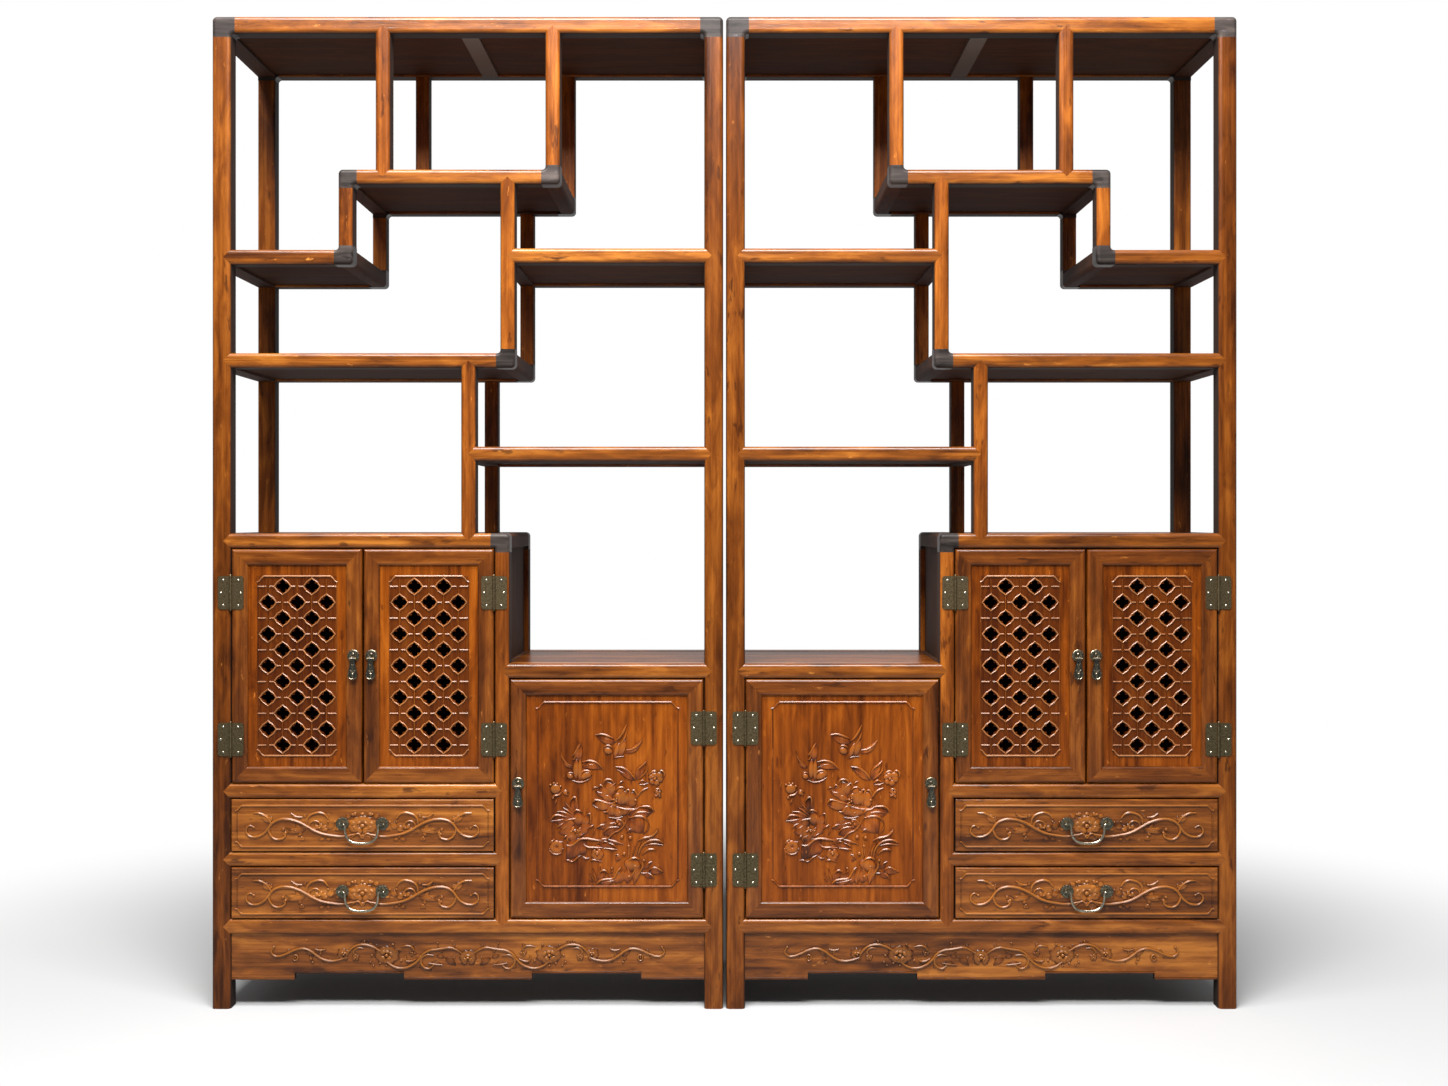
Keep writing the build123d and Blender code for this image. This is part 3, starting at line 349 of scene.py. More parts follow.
# (x and z of the base, x and z of the tip, width, rise, crease, bend)
VINE_LEAVES = (
    (-330, 117, -310.5, 102, 7, 2.2, 0.5, 1.5), (-320.5, 106, -313, 93.5, 6, 2),
    (-365, 110.5, -359.5, 119, 5.5, 2), (-373, 107, -367, 100.5, 5.5, 2),
    (-297.5, 108.5, -307, 106, 5.5, 1.8), (-287, 97.5, -292.5, 91, 5.5, 1.8),
    (-249.5, 106, -262.5, 119, 11, 2.4), (-250.5, 108.5, -252, 121.5, 9.5, 2.6),
    (-249.5, 107, -240.5, 116.5, 9, 2.4), (-252, 106, -265, 108.5, 9.5, 2.4),
    (-250.5, 104.5, -260, 98.5, 9, 2.2), (-248, 103, -244, 96.5, 7.5, 2.2),
    (-252, 108.5, -256, 113.5, 7.5, 3.2, 0.2), (-248.5, 108.5, -247, 114, 7.5, 3.2, 0.2),
    (-226.5, 102, -233.5, 106, 6.5, 2.4, 0.3), (-226.5, 102, -228, 110, 6.5, 2.4, 0.3),
    (-226.5, 102, -219, 106, 6.5, 2.4, 0.3), (-226.5, 102, -221, 96.5, 6.5, 2.2, 0.3),
    (-226.5, 102, -231.5, 96, 6.5, 2.2, 0.3), (-209, 129, -217, 134.5, 5.5, 1.8),
    (-207.5, 129, -198.5, 134.5, 5.5, 1.8), (-187.5, 121.5, -183, 128.5, 5.5, 1.8),
    (-166, 108.5, -180, 123.5, 15, 2.6), (-164.5, 110, -164.5, 126.5, 15.5, 2.8),
    (-160.5, 110, -148.5, 124.5, 15, 2.6), (-159, 107, -136, 114.5, 15, 2.6),
    (-159, 104.5, -137, 100, 14.5, 2.4), (-162, 102, -148.5, 90, 14.5, 2.4),
    (-166, 102, -163.5, 88, 14.5, 2.4), (-168.5, 103, -182, 93.5, 14.5, 2.4),
    (-170, 106, -190.5, 105, 14.5, 2.4), (-170, 108.5, -188.5, 117, 13, 2.4),
    (-167.5, 108.5, -174, 116, 11, 3.4, 0.3), (-163.5, 109, -162, 118, 11, 3.4, 0.3),
    (-159, 107, -150.5, 111.5, 11, 3.4, 0.3), (-162, 104.5, -156.5, 96, 11, 3.2, 0.3),
    (-168, 104.5, -175, 97.5, 11, 3.2, 0.3), (-115, 123.5, -109, 130, 6, 2),
    (-120.5, 95.5, -120.5, 88.5, 6, 1.8), (-112, 114, -119.5, 111, 6.5, 2.2),
    (-112, 111, -114.5, 104, 6.5, 2.2), (-111, 112.5, -104, 108, 6.5, 2.2),
    (-76.5, 91.5, -51.5, 86.5, 8, 2.2, 0.5, 1.5), (-64, 106, -47, 101, 7.5, 2.2, 0.5, 1),
    (-47, 101, -24, 85, 11, 2.2, 0.5, 2), (-31.5, 121.5, -26, 129.5, 6.5, 2),
    (-55.5, 119, -50.5, 111, 6.5, 2), (-90.5, 85.5, -98, 81.5, 6, 2),
    (-80, 80, -74, 75.5, 5.5, 1.8), (-2, 102, -16, 111, 12.5, 2.6),
    (-2, 103, -7.5, 117.5, 12.5, 2.8), (-2, 100.5, -18, 100, 12.5, 2.6),
    (-1.5, 99, -13.5, 88.5, 12.5, 2.4), (-1, 103, -4.5, 109, 9.5, 3.4, 0.3),
    (-2, 100, -8.5, 96.5, 9.5, 3.2, 0.3),
)
# (x, z, half width, rise)
VINE_BUDS = (
    (-391.5, 123, 3, 2.6), (-348.5, 102, 2.4, 2.4), (-313, 92.5, 2.7, 2.4), (-307, 119, 2.2, 2.2),
    (-288, 119, 2.2, 2.2), (-208.5, 135.5, 2.7, 2.4), (-226.5, 102, 2.4, 3), (-151, 128.5, 3, 2.6),
    (-170, 121.5, 3, 2.6), (-193.5, 106.5, 3, 2.6), (-196.5, 93, 2.7, 2.4), (-190.5, 86, 2.7, 2.2),
    (-177.5, 90.5, 2.7, 2.4), (-164.5, 86, 2.7, 2.2), (-135, 96, 3, 2.6), (-164, 106.5, 3.8, 4),
    (-250.5, 108, 2.4, 3.4), (-61, 131.5, 2.7, 2.4), (-70, 86.5, 2.2, 2.2),
    (-112, 111.5, 2.2, 2.8), (-0.5, 101.5, 3.5, 4), (-27.5, 102, 2.4, 2.2),
)
coat("aprons", LEVEL)


def proud_group():
    """0 at a carved ground and 1 at the top of its relief, which faces -Y."""
    group, nodes, start, end = new_group(
        "proud of the ground", {"Vector": ["Place"], "Float": ["Ground", "Rise"]},
        {"Float": ["Proud"]})
    place = add(nodes, "SeparateXYZ", start["Place"]).outputs
    away = calc(nodes, "SUBTRACT", start["Ground"], place["Y"])
    feed(end["Proud"], calc(nodes, "DIVIDE", away, start["Rise"], use_clamp=True))
    return group


PROUD_OF = proud_group()


def ramp(nodes, source, *stops):
    """A colour ramp through two (place, colour) stops."""
    node = add(nodes, "ValToRGB", source)
    for element, (place, colour) in zip(node.color_ramp.elements, stops):
        element.position = place
        element.color = (*colour, 1)
    return node


def carved_timber(name, ground, rise, along="X", cut_shade=0.10, top=(0.34, 0.12, 0.020), **finish):
    """Timber with painted shade in the cuts of a carving and a painted highlight on its worn tops.
    """
    made = timber(name, along, relief=0.06, **finish)
    nodes, shader, where, grain = opened(made)
    proud = add(nodes, "Group", node_tree=PROUD_OF, Place=where["Object"],
                Ground=(FRONT + ground) * MM, Rise=rise * MM)
    # painted shade: the cuts and the foot of the relief are darkened
    shade = ramp(nodes, proud, (0.0, [cut_shade] * 3), (0.62, [1.0] * 3))
    darker = blend(nodes, 1.0, grain["Colour"], shade, blend_type="MULTIPLY")
    # painted highlight: the tops of the relief are blended towards a lighter colour, as lit and
    # worn wood
    rubbed_and_highlit = between(nodes, proud, 0.5, 1.0, last=0.6)
    feed(shader["Base Color"], blend(nodes, rubbed_and_highlit, darker, top))
    return made


def mesh_of(name, bm):
    """A new mesh that takes over what was built."""
    made = bpy.data.meshes.new(name)
    bm.to_mesh(made)
    bm.free()
    return made


def stand(name, data):
    """A new object in the scene."""
    made = bpy.data.objects.new(name, data)
    bpy.context.scene.collection.objects.link(made)
    return made


def ridges(bm, lines, face, rise=1.0, closed=False, sides=2, smooth=True):
    """Rounded, tapering ridges on the face at depth face, along runs of (x, z, half width)."""
    drawn = bpy.data.curves.new("ridges", "CURVE")
    drawn.dimensions = "3D"
    drawn.bevel_depth = 1
    drawn.bevel_resolution = sides
    drawn.resolution_u = 5
    drawn.use_fill_caps = True
    for line in lines:
        spline = drawn.splines.new("BEZIER" if smooth else "POLY")
        points = spline.bezier_points if smooth else spline.points
        points.add(len(line) - 1)
        for point, (x, z, half) in zip(points, line):
            point.co = (x, 0, z) if smooth else (x, 0, z, 1)
            point.radius = half
            if smooth:
                point.handle_left_type = point.handle_right_type = "AUTO"
        spline.use_cyclic_u = closed
    holder = bpy.data.objects.new("ridges", drawn)
    made = bpy.data.meshes.new_from_object(holder)
    made.transform(Matrix.Translation((0, face, 0)) @ Matrix.Diagonal((1, rise, 1, 1)))
    bm.from_mesh(made)
    bpy.data.objects.remove(holder)
    bpy.data.curves.remove(drawn)
    bpy.data.meshes.remove(made)


def set_in(name, bm, finish, body, shift=None, smooth=40):
    """Makes the left cabinet's piece, given in millimetres from its outer front foot, and its
    twin: a mirror image, or the same piece moved by shift."""
    bmesh.ops.recalc_face_normals(bm, faces=bm.faces)
    both = []
    for side in ("left", "right"):
        own = bm.copy()
        place = Matrix.Translation((LEFT_SIDE, FRONT, 0))
        if side == "right" and shift is None:
            place = Matrix.Diagonal((-1, 1, 1, 1)) @ place
            bmesh.ops.reverse_faces(own, faces=own.faces)
        elif side == "right":
            place = Matrix.Translation((shift, 0, 0)) @ place
        bmesh.ops.transform(own, matrix=Matrix.Scale(MM, 4) @ place, verts=own.verts)
        shape = mesh_of(f"{side}_{name}", own)
        shape.materials.append(finish)
        shape.shade_smooth()
        shape.set_sharp_from_angle(angle=math.radians(smooth))
        made = stand(f"{side}_{name}", shape)
        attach(made, body if body == "root" else f"{side}_{body}")
        both.append(made)
    bm.free()
    return both


def lobe(bm, base, tip, width, rise, crease, bend, face):
    """A closed, domed petal, or, where it is creased, a pointed leaf or feather."""
    petal = bmesh.new()
    bmesh.ops.create_uvsphere(petal, u_segments=12, v_segments=8, radius=1)
    start, run = Vector(base), Vector(tip) - Vector(base)
    across = Vector((-run.y, run.x)).normalized()
    point = min(1.0, crease * 1.8)
    for vert in petal.verts:
        ball = vert.co.copy()
        girth = math.hypot(ball.x, ball.y)
        along = (1 - ball.z) / 2
        sweep = along ** (1.3 - 0.75 * crease)
        form = (1 - point) * girth + point * max(0.0, math.sin(math.pi * sweep)) ** 0.9
        side = ball.x / girth if girth > 1e-6 else 0.0
        front = ball.y / girth if girth > 1e-6 else 0.0
        spot = start + run * along + across * (bend * math.sin(math.pi * along)
                                               + width / 2 * form * side)
        lift = rise * (1 - crease * front ** 3) if front > 0 else 0.6
        vert.co = (spot.x, face - lift * form * front, spot.y)
    made = mesh_of("petal", petal)
    bm.from_mesh(made)
    bpy.data.meshes.remove(made)


# every stroke, leaf and bud is cut this much fuller than its table has it
STROKE_WIDTH, LEAF_WIDTH, LEAF_RISE, BUD_RISE = 1.3, 1.1, 1.7, 1.4


def carving(bm, middle, face, strokes, leaves, buds, flip=1):
    """Strokes, leaves and buds about the middle, turned over where flip is -1."""
    centre = Vector(middle)

    def at(x, z):
        return centre + Vector((x * flip, z))

    def leaf(x0, z0, x1, z1, width, rise, crease=0.4, bend=0):
        lobe(bm, at(x0, z0), at(x1, z1), width * LEAF_WIDTH, rise * LEAF_RISE, crease,
             bend * flip, face)

    ridges(bm, [[(*at(x, z), half * STROKE_WIDTH) for x, z, half in line] for line in strokes],
           face, 1.5)
    for each in leaves:
        leaf(*each)
    for x, z, half, rise in buds:
        lobe(bm, at(x - half, z), at(x + half, z), 2 * half, rise * BUD_RISE, 0, 0, face)


# painted shade in the cuts and the default painted highlight on the tops
VINE = carved_timber("apron carving", APRON_FACE, 3.2)
vine = bmesh.new()
for flip in (1, -1):
    carving(vine, (APRON_MIDDLE, 0), APRON_FACE, VINE_STROKES, VINE_LEAVES, VINE_BUDS, flip)
ridges(vine, [[(x0, z, LIP_HALF), (x1, z, LIP_HALF)] for x0, x1, z in (
    (39, 165, LIP_Z), (386, 644, LIP_Z), (865, 991, LIP_Z), (165, 386, RAISED_LIP_Z),
    (644, 865, RAISED_LIP_Z))], APRON_FACE, 0.8, smooth=False)
set_in("apron_vine", vine, VINE, "root")


# Doors. Mitred frames hold a raised panel in a groove. The upper two in each cabinet have a
# pierced lattice, and the lower one is carved.

PANEL_FACE = 6
DOORS = {
    "outer_door": (39.5, 302.25, 455.0, 926.5),
    "inner_door": (305.25, 568.0, 455.0, 926.5),
    "low_door": (601.0, 990.5, 182.5, 664.0),
}
LATTICE_MIDDLES, LATTICE_REACH = ((862.1, 0, 690.75), (596.4, 0, 690.75)), (81, 1, 183)


def mitre_group():
    """1 on a frame's rails and 0 on its stiles, parted along the mitres."""
    group, nodes, start, end = new_group(
        "mitred corners", {"Vector": ["Place", "Centre", "Half size"]}, {"Float": ["On a rail"]})
    room = room_about(nodes, start["Place"], start["Centre"], start["Half size"])
    feed(end["On a rail"], calc(nodes, "LESS_THAN", room["Z"], room["X"]))
    return group


MITRE = mitre_group()


def framed_timber(name, centre, half_size):
    """Timber for a mitred frame: the grain stands in the stiles and lies in the rails."""
    made = timber(name, "Z")
    nodes, _, where, _ = opened(made)
    corner = add(nodes, "Group", node_tree=MITRE, Place=where["Object"], Centre=centre,
                 Half_size=half_size)
    chosen = add(nodes, "Mix", corner, nodes["turn"], where["Object"], data_type="VECTOR")
    feed(nodes["grain"].inputs["Along X"], chosen)
    return made


for door, (x0, x1, z0, z1) in DOORS.items():
    for side, out in (("left", 1), ("right", -1)):
        centre = (out * (LEFT_SIDE + (x0 + x1) / 2) * MM, FRONT * MM, (z0 + z1) / 2 * MM)
        half_size = ((x1 - x0) / 2 * MM, 0, (z1 - z0) / 2 * MM)
        coat(f"{side}_{door}_frame", framed_timber(f"{side} {door} timber", centre, half_size))
PANEL_FINISH = {"along": "Z", "figure": 0.3, "ior": 1.33, "shift": (0.4, 0.2, 0.1), "tones": (
    (0.065, 0.012, 0.001), (0.205, 0.044, 0.002), (0.36, 0.092, 0.006))}
PANEL = timber("panel timber", **PANEL_FINISH)
PIERCED = timber("pierced panel timber", **PANEL_FINISH)
# darker within the lattice field
tint_within(PIERCED, LATTICE_MIDDLES, LATTICE_REACH, (0.050, 0.010, 0.002), 0.62)
dress(PANEL, "low_door_panel")
dress(PIERCED, "outer_door_panel", "inner_door_panel")


# Beads and lattice ribs. Every pierced hole has a raised, pointed rim, joined to its neighbours
# by short ribs, and the field is framed by a bead that steps out round each corner.

# painted shade in the cuts, and top is the painted highlight colour of the rims and ribs
RIBS = carved_timber("lattice carving", PANEL_FACE, 2.6, "Z", cut_shade=0.12, top=(0.50, 0.22, 0.075),
                     tones=((0.065, 0.012, 0.001), (0.21, 0.050, 0.005), (0.36, 0.10, 0.010)))
PITCH_X, PITCH_Z, ROWS = 29.5, 32.0, 11
# a quarter of a hole's rim, from its top point to just short of its side point
RIM = [(0, 17.2), (3.2, 14.2), (7.4, 11.4), (9.8, 9.8), (11.8, 7.6), (14.8, 3.2)]
RIM_SIDE, RIM_HALF = (17.8, 0), 1.8
FIELD_X, FIELD_Z = 79.5, 181
LEVEL_RIB, UPRIGHT_RIB = 1.95, 1.05
RIB_START, RIB_END, LAST_RIB_END, RIB_REACH = 3.2, 14.0, 20, 16.0


def bead_frame(bm, edges, cut, out, thick, thin, face):
    """Thick beads above and below, thin ones at the sides, and stepped corners between them."""
    x0, x1, z0, z1 = edges
    lines = []
    for z, up in ((z1, 1), (z0, -1)):
        lines.append([(x0 + cut, z, thick), (x1 - cut, z, thick)])
        for x, along in ((x0, 1), (x1, -1)):
            lines.append([(x + along * cut, z, thick),
                          (x + along * cut * 0.6, z - up * cut * 0.35, thick * 0.8),
                          (x + along * cut * 0.2, z - up * cut * 0.85, thick * 0.8),
                          (x - along * out, z - up * cut, thick * 0.9)])
    ridges(bm, lines, face, 1.2)
    ridges(bm, [[(x, z0 + cut, thin), (x, z1 - cut, thin)] for x in (x0, x1)], face, 0.9)


rim = RIM + [RIM_SIDE] + [(x, -z) for x, z in RIM[:0:-1]]
rim += [(-x, -z) for x, z in rim]
for door in ("outer_door", "inner_door"):
    x0, x1, z0, z1 = DOORS[door]
    middle, height = (x0 + x1) / 2, (z0 + z1) / 2
    rims, ribs = [], []
    for row in range(ROWS):
        z = height + (row - (ROWS - 1) / 2) * PITCH_Z
        holes = (-2, 0, 2) if row % 2 else (-1, 1)
        rims += [[(middle + c * PITCH_X + dx, z + dz, RIM_HALF) for dx, dz in rim] for c in holes]
        for c in range(-2, 3):
            if c in holes:
                continue
            x = middle + c * PITCH_X
            for out in (-1, 1):
                end = RIB_END if abs(c + out) <= 2 else LAST_RIB_END
                ribs.append([(x + out * RIB_START, z, LEVEL_RIB), (x + out * end, z, LEVEL_RIB)])
            ribs.append([(x, max(z - RIB_REACH, height - FIELD_Z), UPRIGHT_RIB),
                         (x, min(z + RIB_REACH, height + FIELD_Z), UPRIGHT_RIB)])
    lattice = bmesh.new()
    ridges(lattice, rims, PANEL_FACE, 1.5, closed=True, sides=1, smooth=False)
    ridges(lattice, ribs, PANEL_FACE, 1.3, sides=1, smooth=False)
    bead_frame(lattice, (middle - FIELD_X, middle + FIELD_X, height - FIELD_Z, height + FIELD_Z),
               cut=12, out=1.5, thick=2.3, thin=1.4, face=PANEL_FACE)
    set_in(f"{door}_lattice_ribs", lattice, RIBS, door)


# Carved relief of the low door. Two birds over peonies, leaves, grass and a rock, cut in low
# relief and left proud of the panel, inside a bead with stepped corners.

# painted shade in the cuts, and top is the painted highlight colour of the relief
CARVED = carved_timber("door carving", PANEL_FACE, 3.4, "Z", top=(0.34, 0.105, 0.012),
                       tones=((0.065, 0.012, 0.001), (0.210, 0.040, 0.002), (0.38, 0.090, 0.006)))
# (half width, then x and z of each point); leaves and buds as in the vine
RELIEF_STROKES = (
    (2.2, -23.5, 128.5, -10.5, 130, 3, 126, 14.5, 121), (1.5, -10.5, 122.5, 1, 120, 11, 113.5),
    (2.2, 18, 116.5, 25.5, 123.5, 33.5, 136, 39.5, 149),
    (1.9, 21, 103.5, 30, 113.5, 36.5, 124.5, 40, 134.5), (1.7, 23, 86.5, 25.5, 103.5, 33.5, 117),
    (2, -7, 100, -1.5, 106.5, 6.5, 106, 11.5, 101),
    (2.3, 39, 97.5, 52.5, 100.5, 63, 107.5, 71, 118), (1.4, 12, 80.5, 17.5, 83, 34.5, 85),
    (1.6, -93.5, 95.5, -90, 83, -81.5, 71.5, -70.5, 66),
    (1.9, -52, 112.5, -58, 104, -64.5, 92, -70, 86),
    (1.5, -70.5, 77.5, -65.5, 80, -63, 90, -55, 99),
    (2.2, -50.5, 73.5, -35, 76.5, -19.5, 71.5, -7, 59), (1.5, -48.5, 63, -33, 68.5, -17, 65.5),
    (2.2, -54, 43, -51.5, 52, -43.5, 56.5, -34.5, 54, -30.5, 47),
    (1.9, -81, 46, -76.5, 51.5, -69, 52), (1.5, -70, 36.5, -55, 33, -40.5, 36.5, -31.5, 42),
    (2, -111.5, 3.5, -105.5, 6, -96.5, 8, -91, 13.5), (1.7, -100, 1.5, -102.5, -5.5, -105, -12),
    (2, -90, 13.5, -84, 16.5, -76, 12.5), (1.7, -86.5, 8, -81.5, 8.5, -78, 4.5),
    (1.9, -75, -7.5, -70, 1, -63.5, 2.5, -61.5, -4, -63.5, -16.5),
    (1.7, -85, -7.5, -76.5, -16.5, -66, -29), (1.7, -89, -18, -78.5, -24.5, -64, -36.5),
    (1.9, -100, -26.5, -86.5, -27.5, -66.5, -39),
    (2, -114, -44, -106.5, -34.5, -96.5, -33.5, -80, -38),
    (1.5, -113.5, -45.5, -98, -44, -82, -40.5), (2, -7, 29, -5, 36, 3, 39, 11.5, 35.5, 13.5, 29),
    (2, 1, 11, 3, 18, 11, 26, 18, 31.5), (1.9, 22.5, 29, 27, 33, 32.5, 35),
    (1.8, -18.5, 22.5, -13, 27, -8, 23, -7.5, 18), (1.9, -29, 19, -25, 22.5, -18.5, 22.5),
    (1.8, -19.5, 13.5, -12, 11.5, -7, 14), (2, 17.5, 15.5, 23, 21.5, 31.5, 22.5, 38.5, 18.5),
    (2, 25.5, 2, 36, 8.5, 43.5, 18, 45, 6, 39.5, -15.5),
    (2, 48, 13.5, 53, 17, 59, 11.5, 60.5, 1.5), (1.8, -7, 6, 1, 5.5, 10, -2, 14.5, -1.5),
    (2.2, -30, -9, -25, -3, -14.5, -4, -1.5, -8.5, 10, -10.5),
    (2, -7, -27, 1.5, -26, 6.5, -18, 16.5, -13), (2, 18.5, -16.5, 32, -20, 43.5, -21.5, 55, -20.5),
    (1.7, 54.5, -22, 59.5, -16.5, 60.5, -12), (1.5, 3, -38, 20.5, -39.5, 32.5, -36),
    (1.5, -29, -13, -19.5, -18.5, -8, -22), (2, 17.5, 64, 32, 62, 44, 55, 53, 44.5, 57.5, 38),
    (1.4, 20, 58.5, 34.5, 50.5, 48, 42), (2, 58, 53.5, 66, 62.5, 74.5, 69.5, 80.5, 76),
    (1.6, 81, 68.5, 81, 58, 70.5, 45, 61, 38), (1.3, 60.5, 42, 67, 52, 76, 63),
    (2.1, 83.5, 47, 89.5, 53, 97.5, 55.5, 102, 51.5),
    (2.1, 102, 51.5, 109, 56.5, 115.5, 52, 114.5, 42.5), (1.9, 86, 41, 92.5, 44, 98, 40),
    (1.7, 99.5, 40, 106, 43, 113, 38.5), (2, 63, 31, 70.5, 36.5, 79.5, 33.5),
    (1.5, 66, 28, 74.5, 28, 83.5, 31.5), (2, 83, 21.5, 70.5, 16, 62.5, 7, 59, 0),
    (1.9, 95, 13.5, 99.5, 19, 106.5, 18, 110, 13.5), (1.6, 96, 3.5, 100.5, 6, 104, 3.5),
    (2.1, 61.5, -18, 75, -15.5, 88.5, -17.5, 95.5, -26.5),
    (1.9, 48.5, -38, 59, -29, 75, -27, 86, -29), (1.8, 41, -32, 48, -24.5, 61.5, -20, 70, -12),
    (2.2, 45.5, -39, 59, -35.5, 73, -37, 83.5, -46), (1.6, 84, -49, 83.5, -60, 73.5, -72),
    (1.3, 48, -42, 59, -51, 71.5, -69), (2.2, -21.5, -59.5, -13, -54, -4, -52),
    (2, 0, -52.5, 8, -50.5, 15.5, -48.5), (1.8, -8.5, -69, 1, -60.5, 12, -57.5, 24.5, -58),
    (1.8, 18.5, -42, 27.5, -43.5, 34, -51, 31.5, -61.5),
    (1.7, 40.5, -33.5, 37, -49, 25.5, -63.5, 12.5, -70, 1, -80.5, -11.5, -82.5, -20, -92.5),
    (1.8, 39.5, -69, 43.5, -63.5, 50.5, -60), (1.9, -37.5, -58, -31.5, -56, -27, -53),
    (1.4, -28.5, -55.5, -25, -64.5, -28.5, -74.5),
    (2, -66, -27, -63.5, -23.5, -55, -24.5, -49.5, -27), (1.8, -49, -30, -48.5, -42, -51.5, -51.5),
    (1.8, -43, -33.5, -35, -30.5, -32.5, -42, -34, -52.5),
    (1.8, -90, -49, -80, -43.5, -65.5, -40.5, -59.5, -38),
    (1.8, -101, -59.5, -97.5, -55.5, -86.5, -49.5), (2, -92, -66.5, -86.5, -60, -76.5, -53),
    (2.2, -80.5, -71.5, -71, -65.5, -62.5, -63), (1.8, -59.5, -62.5, -54.5, -60, -50.5, -61.5),
    (1.8, -49, -64.5, -42, -66), (1.9, -87, -81, -84.5, -76.5, -80, -74),
    (1.6, -75.5, -89.5, -80, -82.5, -73, -76, -62, -74), (1.5, -62, -80.5, -53, -74, -42, -69),
    (2, -115.5, -91.5, -111.5, -86.5, -106.5, -83.5), (2, -100, -86.5, -89.5, -87.5),
    (2.2, -93.5, -101.5, -87.5, -101),
    (1.6, -117, -102.5, -113.5, -107, -105.5, -112, -95, -111, -88.5, -105.5),
    (2.2, -81.5, -94, -73, -95, -63.5, -89.5, -55, -82.5, -42, -80.5, -27, -82.5, -10.5, -85),
    (1.6, -55.5, -85, -63, -105, -67.5, -116),
    (1.6, -86.5, -125, -78.5, -124, -70.5, -127, -59.5, -119, -50.5, -114),
    (2, -46.5, -92.5, -39, -97.5, -25.5, -98.5, -10, -99.5), (2.2, 3, -82.5, 17, -86.5, 33, -92),
    (1.9, 3.5, -89.5, 14, -94, 19, -99.5), (2, -6, -100, 11.5, -102, 20.5, -103),
    (1.5, -10.5, -89.5, -5, -86.5, 1, -89.5, -6, -94),
    (1.8, -48.5, -117.5, -42, -120.5, -35.5, -120),
    (1.9, -33.5, -126, -28.5, -123.5, -10.5, -127.5), (1.5, -28.5, -105, -25, -114, -26, -123),
    (1.5, -15, -105, -12, -114, -16, -123), (1.8, 17, -113, 23, -114, 25.5, -119),
    (1.6, 21, -120.5, 20, -127.5), (1.8, 41.5, -127.5, 44.5, -109.5, 43.5, -92.5, 40.5, -77),
    (1.4, 50.5, -127.5, 54.5, -105, 61.5, -89.5),
    (2.4, 40.5, -130, 48, -121.5, 58, -119.5, 67, -123.5),
    (2, 70, -123, 72.5, -134, 67, -147.5, 58, -161, 53.5, -173.5),
    (1.9, 40.5, -136.5, 43.5, -147.5, 41.5, -161),
    (2, 54.5, -127.5, 57, -141, 51, -154, 44.5, -158.5), (2, 35.5, -141, 32, -154, 29, -170),
    (2.2, -21.5, -173.5, -14.5, -166, -1.5, -162.5, 12, -161, 17.5, -154.5, 23, -144, 28.5,
     -138.5), (1.6, -10.5, -170, 3, -167.5, 18.5, -163, 25.5, -154),
    (1.6, -35, -151, -28, -160, -21, -170.5), (1.6, -36, -163, -28.5, -168),
    (1.7, -28.5, -141, -24.5, -156.5, -20, -170), (1.5, -12.5, -136.5, -16.5, -150, -18.5, -167.5),
    (1.9, -16, -154, -10.5, -145.5, -3, -145, 3, -152.5), (1.6, 13, -138.5, 11, -146.5, 6.5, -150),
    (2.3, 61.5, -85, 73, -79.5, 88.5, -76, 99.5, -67.5, 103, -61),
    (2.1, 62.5, -120.5, 67, -101.5, 77, -89.5, 92.5, -83.5, 106, -85, 113.5, -90),
    (1.9, 76, -95, 92.5, -91.5, 113, -94), (2.1, 70, -114, 81.5, -104, 92.5, -102, 100, -104.5),
    (1.7, 58, -120.5, 60.5, -105, 70, -87), (2, 84.5, -143.5, 95, -139, 106, -143, 113.5, -148),
    (1.9, 78.5, -135, 84, -130.5, 91, -127), (1.9, 83, -150, 90, -154.5, 95, -162.5),
    (1.7, 67, -150, 74.5, -150.5, 81.5, -150),
)
